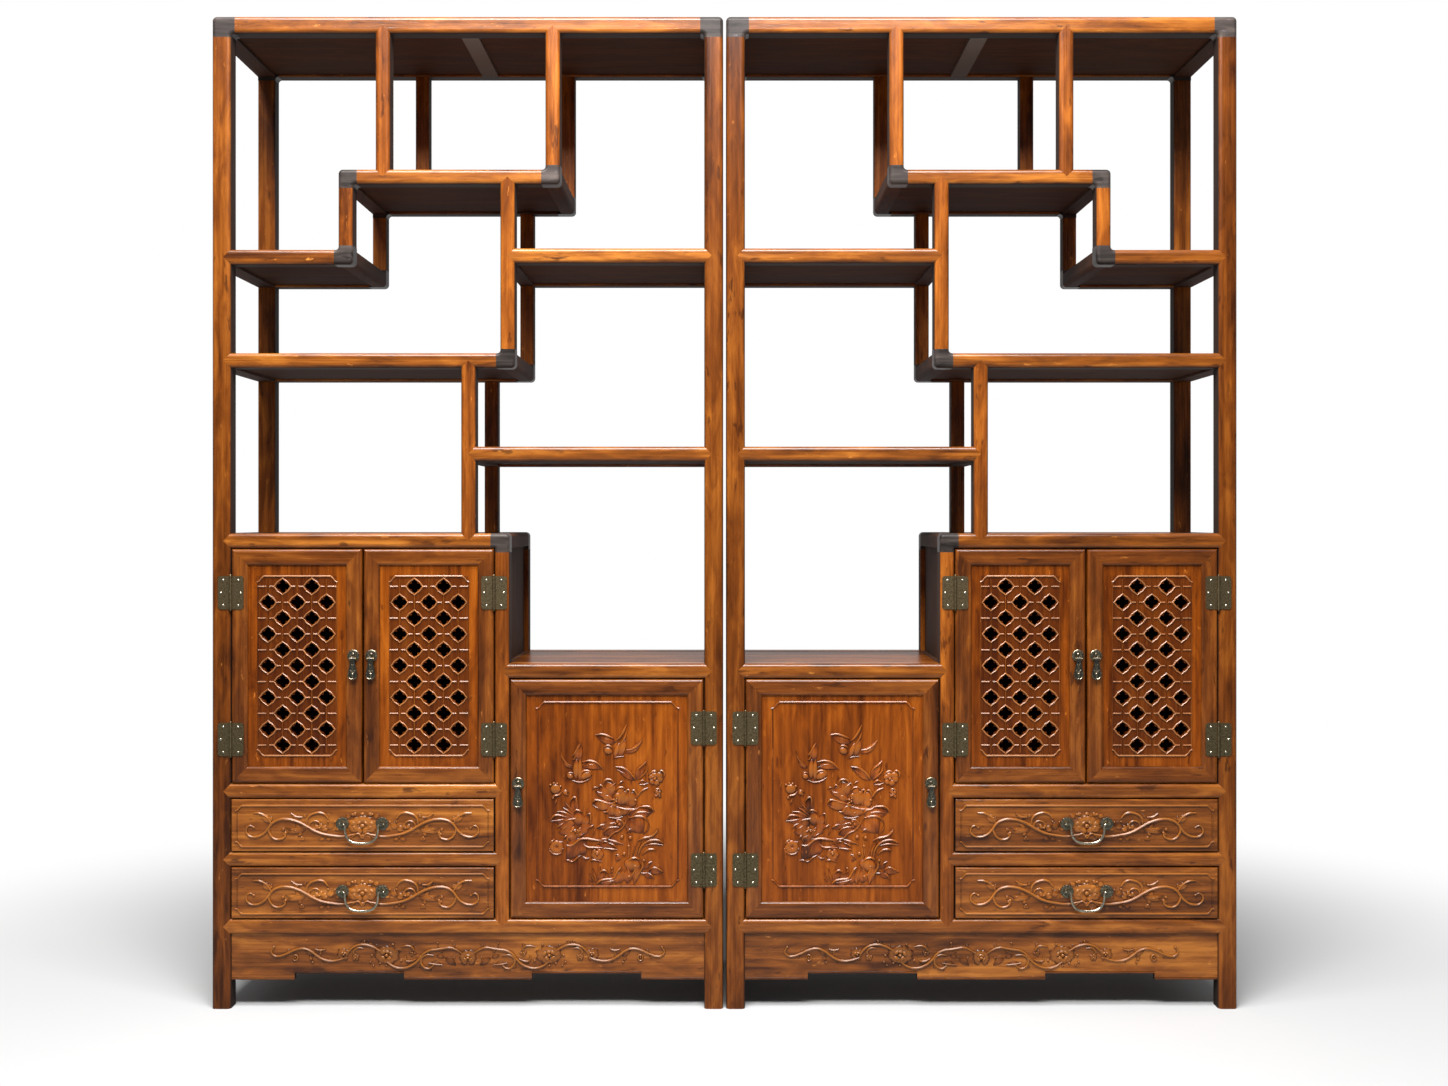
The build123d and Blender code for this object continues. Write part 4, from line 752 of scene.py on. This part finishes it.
RELIEF_LEAVES = (
    (19, 112.5, -21.5, 126, 14, 2.6, 0.5, 2), (36.5, 90.5, 69.5, 115.5, 11.5, 2.6, 0.4, -3.5),
    (14.5, 82, 25.5, 112.5, 10.5, 3, 0.2), (25.5, 83, 36.5, 119, 12.5, 3, 0.3),
    (11.5, 92, -7, 100.5, 14, 2.6, 0.1), (-88.5, 76.5, -69.5, 61.5, 8, 2.2, 0.3, -2),
    (-58, 74, -52.5, 110, 14, 2.6, 0.5, 1), (-61.5, 80, -63, 38, 11.5, 3, 0.2),
    (-54, 82, -55, 35, 9, 3.2, 0.2), (-50.5, 64, -8.5, 60, 14, 2.6, 0.5, 4.5),
    (-54, 40, -30.5, 50.5, 14.5, 2.8, 0.1, 1.5), (-67.5, 42.5, -81, 47, 11, 2.6, 0.1),
    (-63.5, -28, -67.5, 1, 17, 2.2, 0.6), (-64.5, -36.5, -98.5, -29, 10, 2.2, 0.5, 1.5),
    (-63.5, -40.5, -113, -44.5, 14, 2.2, 0.6, 3), (-65, -34.5, -86.5, -15.5, 8.5, 2, 0.5),
    (13, 6, 1, 34, 19, 2.8, 0.3), (4, 9, 17, 29.5, 13.5, 3), (12, 5, -16.5, 21, 15.5, 2.4, 0.3),
    (13, 1.5, -24, 14, 14.5, 2.2, 0.3), (13, -4, -10.5, 7, 13.5, 2.6, 0.3),
    (18.5, 9.5, 37, 18, 13, 2.6, 0.3), (21, -12, 44, 14, 27, 3, 0.3),
    (43.5, -12, 55.5, 14, 19, 2.6, 0.3), (41, -15.5, 61, -2, 15.5, 2.4, 0.3),
    (13, -12, -28.5, -12, 20.5, 2.8, 0.35, 1.5), (23, -15.5, -1.5, -31, 19.5, 2.4, 0.3),
    (25.5, -17.5, 18.5, -39, 21.5, 2.6, 0.3), (30, -17.5, 36.5, -35.5, 18, 2.4, 0.3),
    (16.5, -1, 25.5, 11.5, 11, 3.2, 0.3), (16.5, -7.5, 11, -18.5, 11, 3, 0.3),
    (57.5, 36.5, 18.5, 63, 16.5, 2.4, 0.6, -1.5), (59, 37.5, 79.5, 74, 16, 2.4, 0.6, 2),
    (92.5, 38.5, 85.5, 48.5, 12.5, 2.8, 0.2), (95, 39.5, 95.5, 54, 13.5, 3, 0.2),
    (101.5, 38.5, 109, 54, 15, 3, 0.2), (99.5, 36, 114, 42, 14, 2.8, 0.2),
    (97, 38.5, 104, 25, 12.5, 2.6, 0.2), (95, 38, 86, 29.5, 11.5, 2.4, 0.2),
    (102.5, 7, 99, 18, 8, 2.4, 0.2), (102.5, 7, 109, 16.5, 7.5, 2.4, 0.2),
    (102.5, 8, 95, 3.5, 6.5, 2, 0.2), (102.5, 8, 110, 1.5, 6.5, 2, 0.2),
    (41.5, -31.5, 94.5, -25.5, 21.5, 2.4, 0.5, -2), (44.5, -38.5, 73.5, -70.5, 33.5, 2.6, 0.6, 2),
    (25.5, -25.5, 54.5, -17.5, 11, 2.4), (23, -44.5, -21, -61.5, 14, 2.4, 0.5),
    (25.5, -59, -8, -74, 15, 2.2, 0.5), (39.5, -42, 48, -70, 13.5, 2.2, 0.5),
    (23, -40, 30, -60, 10.5, 2.2, 0.5), (-58.5, -55.5, -57.5, -25.5, 19, 2.6, 0.35),
    (-48.5, -58, -37.5, -32.5, 15, 2.4, 0.35), (-64, -53.5, -86.5, -44.5, 13.5, 2.4),
    (-64, -60, -98, -55.5, 14, 2.4), (-64, -64.5, -98, -69, 14, 2.4),
    (-62, -66, -86.5, -80.5, 16, 2.6), (-59.5, -63.5, -76.5, -88, 15.5, 2.4),
    (-57.5, -62.5, -57.5, -80.5, 15, 2.4), (-55, -60, -37.5, -69, 14.5, 2.4),
    (-57.5, -58, -29.5, -55.5, 13.5, 2.2), (-64, -63.5, -73, -60, 11, 3.2, 0.3),
    (-59.5, -63.5, -55, -69, 11, 3.2, 0.3), (-101, -97, -113.5, -89.5, 15, 2.6, 0.2),
    (-101, -97, -103.5, -83.5, 15, 2.8, 0.2), (-101, -97, -89, -89.5, 15, 2.6, 0.2),
    (-101, -98, -87, -101.5, 15, 2.6, 0.2), (-101, -98, -95.5, -111.5, 15, 2.6, 0.2),
    (-101, -98, -111, -109.5, 15, 2.6, 0.2), (-101, -98, -117, -100, 13.5, 2.6, 0.2),
    (-42, -82.5, -82.5, -123.5, 33.5, 2.4, 0.6, -3.5), (-48.5, -92.5, -46, -114, 13.5, 2),
    (-21.5, -85, 3, -82.5, 9, 2, 0.5), (-17, -92.5, 19, -102.5, 10, 2.2, 0.5, 1),
    (-1.5, -82.5, 31.5, -92.5, 9, 2.2, 0.5, 1), (-10.5, -98.5, -26, -98, 10, 2, 0.3),
    (-19.5, -111.5, -31.5, -105, 12.5, 2.6, 0.3), (-19.5, -111.5, -33, -117.5, 12.5, 2.6, 0.3),
    (-19.5, -111.5, -26, -125, 12.5, 2.6, 0.3), (-19.5, -111.5, -13, -125.5, 12.5, 2.6, 0.3),
    (-19.5, -111.5, -5.5, -114, 12.5, 2.6, 0.3), (-19.5, -111.5, -10.5, -103, 11, 2.6, 0.3),
    (-19.5, -114, -19.5, -105, 9, 3.2, 0.2), (-48.5, -116, -35.5, -123, 8, 2),
    (23, -127.5, 18.5, -114, 7.5, 2), (25.5, -125, 25.5, -114, 6.5, 2),
    (48, -147.5, 54.5, -120.5, 33.5, 2.8, 0.3), (54.5, -172, 68, -132, 15.5, 2.6, 0.4, 2),
    (41, -172, 43.5, -141, 18, 2.4), (25.5, -172, 35.5, -141, 13.5, 2.4),
    (-15, -173, 18.5, -156.5, 15.5, 2, 0.3, -2), (16.5, -173, 25.5, -150, 11, 2.2, 0.3),
    (-20, -170, -28, -141, 5, 1.8), (-19.5, -170, -13, -137.5, 5.5, 1.8),
    (-19.5, -167.5, 1, -150, 10, 2, 0.4, 3), (83.5, -147.5, 113, -148.5, 13, 2.4, 0.5, 2),
    (72.5, -143, 90.5, -128, 8, 2, 0.5), (72.5, -147.5, 94.5, -161, 9, 2, 0.5, -1.5),
    (70, -147.5, 74.5, -127.5, 6.5, 2, 0.5), (79, -150, 67, -150, 7.5, 2),
)
RELIEF_BUDS = (
    (-104, 19.5, 11.2, 3.4), (-113.5, 28, 3.1, 3.6), (-107, 31, 3.1, 3.6), (-100, 30, 3.1, 3.6),
    (-93.5, 25, 2.9, 3.4), (-84, 11.5, 5.4, 2.8), (-109, 1.5, 3.6, 2.2), (14, -2, 3.1, 3.8),
    (18.5, -5.5, 2.7, 3.8), (14.5, -8, 2.7, 3.8), (19.5, 0, 2.7, 3.8), (57.5, -3.5, 3.6, 3.2),
    (25.5, -29, 3.6, 3.2), (21, -46.5, 3.6, 2.8), (25.5, -52.5, 3.1, 2.8), (17, -51, 2.7, 2.8),
    (96.5, 40, 3.6, 3.6), (102.5, 8, 3.1, 3), (30, -77.5, 4.5, 3.2), (47, -79, 4.3, 3.2),
    (44, -96, 3.8, 3), (34.5, -111, 4.5, 3.2), (23, -116.5, 3.1, 2.6), (74.5, -125, 3.6, 2.6),
    (44.5, -157.5, 4, 3.6), (-19.5, -112, 3.1, 4), (-116, -102, 2.2, 2), (-68.5, -63, 2.7, 4),
    (-63.5, -66.5, 2.7, 4), (-59, -64, 2.7, 4), (10, -141, 3.1, 2.4), (-107, -83.5, 2.7, 3),
    (57, -137.5, 4.5, 3),
)


def tapered(half, *numbers):
    """A stroke of one half width that thins at both ends."""
    tip = round(half * 0.55, 2)
    halves = [tip] + [half] * (len(numbers) // 2 - 2) + [tip]
    return zip(numbers[::2], numbers[1::2], halves)


x0, x1, z0, z1 = DOORS["low_door"]
x, z = (x0 + x1) / 2, (z0 + z1) / 2
relief = bmesh.new()
carving(relief, (x, z), PANEL_FACE, [tapered(*each) for each in RELIEF_STROKES],
        RELIEF_LEAVES, RELIEF_BUDS)
bead_frame(relief, (x - 140, x + 143, z - 177, z + 194.5), cut=13, out=3, thick=2.6, thin=1.5,
           face=PANEL_FACE)
set_in("low_door_relief", relief, CARVED, "low_door", shift=-2 * LEFT_SIDE - 2 * x)


# Drawers. Flat fronts carry a bead and a carved scroll that grows from a peony in the middle,
# the same on both halves.

# painted shade in the cuts, and top is the painted highlight colour of the scroll
PROUD = carved_timber("drawer carving", 0, 3.0, top=(0.36, 0.125, 0.020), tones=(
    (0.065, 0.015, 0.002), (0.245, 0.066, 0.006), (0.48, 0.160, 0.020)))
DRAWER_MIDDLE = 303.75
DRAWER_BEAD_X = 253
SCROLL_STROKES = (
    ((-218.5, -3, 1.2), (-227, 0, 1.6), (-234, -8.5, 1.7), (-228.5, -19.5, 2), (-215, -22.5, 2.2),
     (-200, -17, 2.3), (-190, -7, 2.3), (-183, 3, 2.3), (-169.5, 11.5, 2.4), (-149.5, 13, 2.5),
     (-129.5, 8, 2.5), (-112.5, -0.5, 2.5), (-99, -8.5, 2.5), (-82.5, -15.5, 2.4),
     (-62, -19.5, 2.3), (-42, -21.5, 2.2), (-25, -19.5, 2), (-8.5, -16, 1.3)),
    ((-182.5, 3, 1.2), (-188, -5.5, 1.8), (-186.5, -15.5, 2), (-178, -25.5, 2.1),
     (-166.5, -27.5, 2.1), (-156, -22, 1.9), (-154.5, -16, 1.6)),
    ((-184, 5.5, 1.5), (-193, 17.5, 2), (-206.5, 25, 2.2), (-220, 25.5, 1.3)),
    ((-143.5, 25, 1.4), (-132.5, 18, 2), (-121, 17, 1.6)),
    ((-112.5, 3, 1.4), (-109, 16.5, 2.1), (-96, 25, 2.3), (-79, 25, 2.2), (-68, 14, 1.5)),
    ((-108.5, -5.5, 1.2), (-102.5, 7.5, 1.7), (-89, 8, 1.8), (-82.5, -2.5, 1.3)),
    ((-22, -24, 1.2), (-8.5, -16, 1.8), (-0.5, -25.5, 1.6)),
)
SCROLL_LEAVES = (
    (-182.5, 5, -203.5, 23, 8.5, 2.2, 0.4, 2), (-186.5, 6.5, -182.5, 19, 6.5, 2),
    (-190.5, 11.5, -194, 23, 6, 2), (-126, 12, -142, 25, 7.5, 2, 0.4, 1.5),
    (-119.5, 15, -112.5, 23.5, 6, 1.8), (-112.5, -7, -156, -4.5, 8.5, 2.2, 0.4, 2.5),
    (-114, -10.5, -152, -16, 8.5, 2.2, 0.4, -2), (-122.5, -7, -136, 3, 7.5, 2),
    (-121, -13.5, -130, -22, 6.5, 2), (-156, -10.5, -163.5, -5.5, 6.5, 2, 0.3),
    (-153, -13.5, -161, -20.5, 6, 2, 0.3), (-87.5, -8.5, -96, 3, 8, 2.4, 0.3),
    (-85.5, -7, -82.5, 5, 8, 2.4, 0.3), (-82.5, -8.5, -72, 1, 8, 2.4, 0.3),
    (-82.5, -10.5, -69, -7, 7.5, 2.2, 0.3), (-92.5, -10.5, -102.5, -5.5, 7.5, 2.2, 0.3),
    (-69, -8.5, -54, 2, 8, 2.2, 0.5, 2), (-69, -8.5, -63, 8, 6.5, 2),
    (-55.5, -10.5, -43.5, -3.5, 6.5, 2), (-74, -25.5, -89, -29.5, 6.5, 1.8),
    (-74, -25.5, -62, -29.5, 6.5, 1.8), (-74, -25.5, -75, -19.5, 5.5, 1.8),
    (-122.5, -24, -126.5, -31.5, 6, 1.8), (-122.5, -24, -116.5, -31, 6, 1.8),
    (-1.5, -0.5, -30, 8, 14, 2.6, 0.3), (-1.5, -1.5, -31.5, -2, 13.5, 2.6, 0.3),
    (-1.5, -2.5, -27, -10.5, 13, 2.4, 0.3), (-0.5, 1.5, -19, 15.5, 13.5, 2.6, 0.3),
    (0, 3, -5, 21, 14, 2.8, 0.3), (0, -5.5, -12, -13.5, 13.5, 2.4, 0.3),
    (-15, -0.5, -22, 8, 11.5, 3.2, 0.2), (-12, -2, -19, -6, 11.5, 3.2, 0.2),
    (-5, 1.5, -10, 8, 11.5, 3.4, 0.2), (-22, 15, -34.5, 22.5, 8.5, 2.2),
    (-12, 19, -18, 26.5, 8.5, 2.4, 0.3), (-15, -22, -35.5, -25.5, 8.5, 1.8, 0.4, -1.5),
)
SCROLL_BUDS = (
    (-154.5, -14.5, 3.4, 2.6), (-218.5, -4, 2.7, 2.2), (-122.5, -24, 3, 2.2),
    (-86.5, -4.5, 2.7, 3), (-188, 15.5, 2.4, 2.4), (-196, 19.5, 2.4, 2.4), (-141, -7.5, 2.4, 2.4),
    (-134.5, -10.5, 2.4, 2.4), (-20, 22.5, 3, 2.8), (-0.5, 23.5, 4, 3), (-0.5, -0.5, 4.7, 3.6),
    (-48.5, 3, 2.4, 2.4), (-55.5, 7.5, 2.4, 2.4), (-0.5, -20.5, 3, 2), (-69, 8, 2.4, 2.2),
)
dress(LEVEL, "upper_drawer_front", "lower_drawer_front")
for drawer, foot, head in (("upper_drawer", 317.5, 422), ("lower_drawer", 182.5, 284.5)):
    scroll = bmesh.new()
    for flip in (1, -1):
        carving(scroll, (DRAWER_MIDDLE, (foot + head) / 2), 0, SCROLL_STROKES, SCROLL_LEAVES,
                SCROLL_BUDS, flip)
    bead_frame(scroll, (DRAWER_MIDDLE - DRAWER_BEAD_X, DRAWER_MIDDLE + DRAWER_BEAD_X, foot + 10,
                        head - 12), cut=10, out=3, thick=2.7, thin=1.6, face=0)
    set_in(f"{drawer}_scroll", scroll, PROUD, drawer)


# Hinges. Butt hinges of rolled brass, let to darken, are screwed to the faces of the posts and
# the doors with bright, round-headed screws.

# the pin's place, which way the door lies from it, and the heights of its two hinges
HINGES = {"outer_door": (38.75, 1, (543, 838.5)), "inner_door": (568.75, -1, (543, 838.5)),
          "low_door": (991.25, -1, (280.5, 566))}
SCREW_PLACES = ((15, 25.5), (20, 0), (15, -25.5))
SCREW_RADIUS, SCREW_FOOT, SCREW_RISE = 2.5, -1.4, 1.9


def old_metal(name, base, dark, rough, scale=240.0):
    """Brass or bronze with darker tarnish in blotches and fine scratches."""
    made, nodes, shader = new_material(name)
    feed(shader["Metallic"], 1.0)
    where = add(nodes, "TexCoord").outputs["Object"]
    spots = add(nodes, "TexNoise", where, Scale=scale, Detail=4.0, Roughness=0.65)
    feed(shader["Base Color"], ramp(nodes, spots, (0.36, dark), (0.66, base)))
    feed(shader["Roughness"], between(nodes, spots, 0.3, 0.7, rough + 0.12, rough - 0.06))
    feed(shader["Normal"], add(nodes, "Bump", Strength=0.25, Distance=0.0004, Height=spots))
    return made


def dome(bm, x, z, radius, face, rise):
    """A round head that stands rise in front of the face."""
    head = Matrix.Translation((x, face, z)) @ Matrix.Diagonal((radius, rise, radius, 1))
    bmesh.ops.create_uvsphere(bm, u_segments=12, v_segments=8, radius=1, matrix=head)


BRASS = old_metal("darkened brass", (0.33, 0.24, 0.13), (0.10, 0.072, 0.038), 0.44)
SCREWS = old_metal("bright screws", (0.92, 0.86, 0.74), (0.70, 0.62, 0.48), 0.26)
dress(BRASS, "hinge_post_leaves", "outer_door_hardware", "inner_door_hardware",
      "low_door_hardware")
for door, (pin, out, heights) in HINGES.items():
    for part, way, body in (("post", -out, "root"), ("leaf", out, door)):
        heads = bmesh.new()
        for height in heights:
            for x, z in SCREW_PLACES:
                dome(heads, pin + way * x, height + z, SCREW_RADIUS, SCREW_FOOT, SCREW_RISE)
        set_in(f"{door}_{part}_screws", heads, SCREWS, body)


# Door pulls. A cast rosette with petals and a rim is pinned to the stile, and carries a drop
# with a leaf on it, which swings on a small pin.

PULLS = {"outer_door": (285.75, 712), "inner_door": (321.75, 712), "low_door": (617.5, 455)}
PETALS = 10
RIM_POINTS, RIM_RADIUS, LOOP_RADIUS = 20, 11.2, 8.8
DROP_LENGTH = 38
CAST = old_metal("cast bronze", (0.50, 0.42, 0.30), (0.06, 0.05, 0.035), 0.30, 420.0)
DROPS = old_metal("blackened bronze", (0.30, 0.26, 0.21), (0.05, 0.045, 0.04), 0.30, 420.0)
dress(DROPS, "outer_door_pull_drop", "inner_door_pull_drop", "low_door_pull_drop")


def petals(bm, x, z, inner, outer, width, rise, face):
    """A ring of pointed petals."""
    for k in range(PETALS):
        angle = math.tau * (k + 0.5) / PETALS
        way = Vector((math.cos(angle), math.sin(angle)))
        lobe(bm, Vector((x, z)) + way * inner, Vector((x, z)) + way * outer, width, rise, 0.4, 0,
             face)


def arc(x, z, radius, angles, half):
    """Points of a ridge round a middle."""
    return [(x + radius * math.cos(a), z + radius * math.sin(a), half) for a in angles]


for door, (x, z) in PULLS.items():
    rosette = bmesh.new()
    petals(rosette, x, z, inner=3, outer=12.2, width=7, rise=1.7, face=-2.9)
    dome(rosette, x, z + 2.6, radius=3.4, face=-3.2, rise=2.6)
    around = [math.tau * k / RIM_POINTS for k in range(RIM_POINTS)]
    ridges(rosette, [arc(x, z, RIM_RADIUS, around, 1.0)], -2.6, 1.2, closed=True, sides=1,
           smooth=False)
    set_in(f"{door}_rosette", rosette, CAST, door)
    drop = bmesh.new()
    foot = z - DROP_LENGTH
    for way in (-1, 1):
        lobe(drop, (x, foot - 7), (x + way * 5.5, foot + 10), 7.5, 1.8, 0.4, way * 2.5, -9.4)
        lobe(drop, (x, foot + 8), (x + way * 3, foot + 22), 4.5, 1.4, 0.4, way * 1.2, -9.4)
    dome(drop, x, foot + 1, radius=3.6, face=-9.4, rise=2.6)
    dome(drop, x, foot - 8.4, radius=2.2, face=-9.2, rise=2.0)
    below = [math.radians(degrees) for degrees in range(145, 396, 18)]
    ridges(drop, [arc(x, foot, LOOP_RADIUS, below, 1.1)], -9.3, 1.1, sides=1, smooth=False)
    set_in(f"{door}_drop_leaf", drop, CAST, f"{door}_pull")


# Drawer bails. A wire handle, thicker in the grip than at its pins, hangs in two bosses that
# stand on round, cast plates with petals.

BOSS_APART = 40
BAIL_DEPTH = -9.5
# half of the wire, from the end of a pin to the middle of the grip
BAIL_LINE = ((45, 0, 1.75), (39, 0, 1.75), (35.4, -0.5, 1.75), (33.4, -3.4, 1.9),
             (33.2, -10, 2.1), (32.0, -18.5, 2.3), (28.6, -27, 2.6), (21.5, -34.2, 2.8),
             (11, -37.6, 2.9), (0, -38.2, 3.0))
WIRE = old_metal("polished bronze", (0.86, 0.77, 0.62), (0.46, 0.38, 0.27), 0.22, 180.0)
dress(CAST, "upper_bail_mounts", "lower_bail_mounts")
for drawer, height in (("upper", 373.75), ("lower", 237.5)):
    run = [(DRAWER_MIDDLE - x, height + z, half) for x, z, half in BAIL_LINE]
    run += [(DRAWER_MIDDLE + x, height + z, half) for x, z, half in BAIL_LINE[-2::-1]]
    wire = bmesh.new()
    ridges(wire, [run], BAIL_DEPTH, sides=4)
    for made in set_in(f"{drawer}_bail_wire", wire, WIRE, f"{drawer}_bail_body",
                       smooth=60):
        side = made.name.split("_")[0]
        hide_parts(f"{side}_{drawer}_bail")
    plates = bmesh.new()
    for way in (-1, 1):
        petals(plates, DRAWER_MIDDLE + way * BOSS_APART, height, inner=4.5, outer=13, width=7.4,
               rise=1.6, face=-2.4)
    set_in(f"{drawer}_bail_plates", plates, CAST, f"{drawer}_drawer")


# The room. A pale floor that fades into an even white surround, and two long soft lights, one
# overhead and one in front, a little to the left.

WHITE = (1, 1, 1)
floor_mesh = bmesh.new()
bmesh.ops.create_grid(floor_mesh, x_segments=1, y_segments=1, size=12)
floor = stand("floor", mesh_of("floor", floor_mesh))
pale, nodes, paint = new_material("pale floor")
floor.data.materials.append(pale)
where = add(nodes, "TexCoord").outputs["Object"]
rays = add(nodes, "LightPath").outputs
feed(paint["Roughness"], 0.75)
feed(paint["Specular IOR Level"], 0.1)
# painted reflection: glossy surfaces mirror a darker floor than the camera sees
feed(paint["Base Color"], ramp(nodes, rays["Is Glossy Ray"], (0.0, (0.60, 0.60, 0.60)),
                               (1.0, (0.18, 0.22, 0.22))))
# white in the distance, and behind the cabinets also for what the lacquer mirrors
flat = add(nodes, "Mapping", where, Scale=(0.72, 0.80, 1))
distance = add(nodes, "VectorMath", flat, operation="LENGTH")
fade = between(nodes, distance, 0.62, 1.75, interpolation_type="SMOOTHSTEP")
behind = calc(nodes, "GREATER_THAN", add(nodes, "SeparateXYZ", where).outputs["Y"], 0.3)
mirrored = calc(nodes, "MULTIPLY", behind, rays["Is Glossy Ray"])
seen = calc(nodes, "MAXIMUM", rays["Is Camera Ray"], mirrored)
whiter = calc(nodes, "MULTIPLY", fade, seen)
glow = add(nodes, "Emission", Strength=1.0)
feed(nodes["Material Output"].inputs["Surface"],
     add(nodes, "MixShader", whiter, nodes["Principled BSDF"], glow))

world = bpy.data.worlds.new("surround")
bpy.context.scene.world = world
world.use_nodes = True
nodes = world.node_tree.nodes
fill = nodes["Background"]
feed(fill.inputs["Color"], WHITE)
feed(fill.inputs["Strength"], 0.12)
rays = add(nodes, "LightPath").outputs
way = add(nodes, "SeparateXYZ", add(nodes, "TexCoord").outputs["Generated"]).outputs
behind = between(nodes, way["Y"], -0.5, 0.35, 0.12, 0.6)
white = add(nodes, "Background", Color=WHITE,
            Strength=calc(nodes, "MAXIMUM", behind, rays["Is Camera Ray"]))
seen = calc(nodes, "MAXIMUM", rays["Is Camera Ray"], rays["Is Glossy Ray"])
feed(nodes["World Output"].inputs["Surface"], add(nodes, "MixShader", seen, fill, white))

for name, place, aim, size, power in (
        ("overhead light", (-0.2, -1.2, 3.3), (0, -0.15, 1.0), (2.8, 0.4), 100),
        ("front light", (-0.25, -2.5, 3.5), (0, 0, 0.7), (2.6, 0.8), 205)):
    lamp = bpy.data.lights.new(name, "AREA")
    lamp.shape = "RECTANGLE"
    lamp.size, lamp.size_y = size
    lamp.energy = power
    holder = stand(name, lamp)
    holder.location = place
    holder.rotation_euler = (Vector(aim) - Vector(place)).to_track_quat("-Z", "Y").to_euler()

lens = bpy.data.cameras.new("view")
lens.lens = 40
lens.sensor_width = 36
lens.shift_y = -0.0159
camera = stand("view", lens)
camera.location = (-0.0012, FRONT * MM - 3.240, 0.985)
camera.rotation_euler = (math.radians(90), 0, 0)
bpy.context.scene.camera = camera
bpy.context.scene.view_settings.view_transform = "Standard"
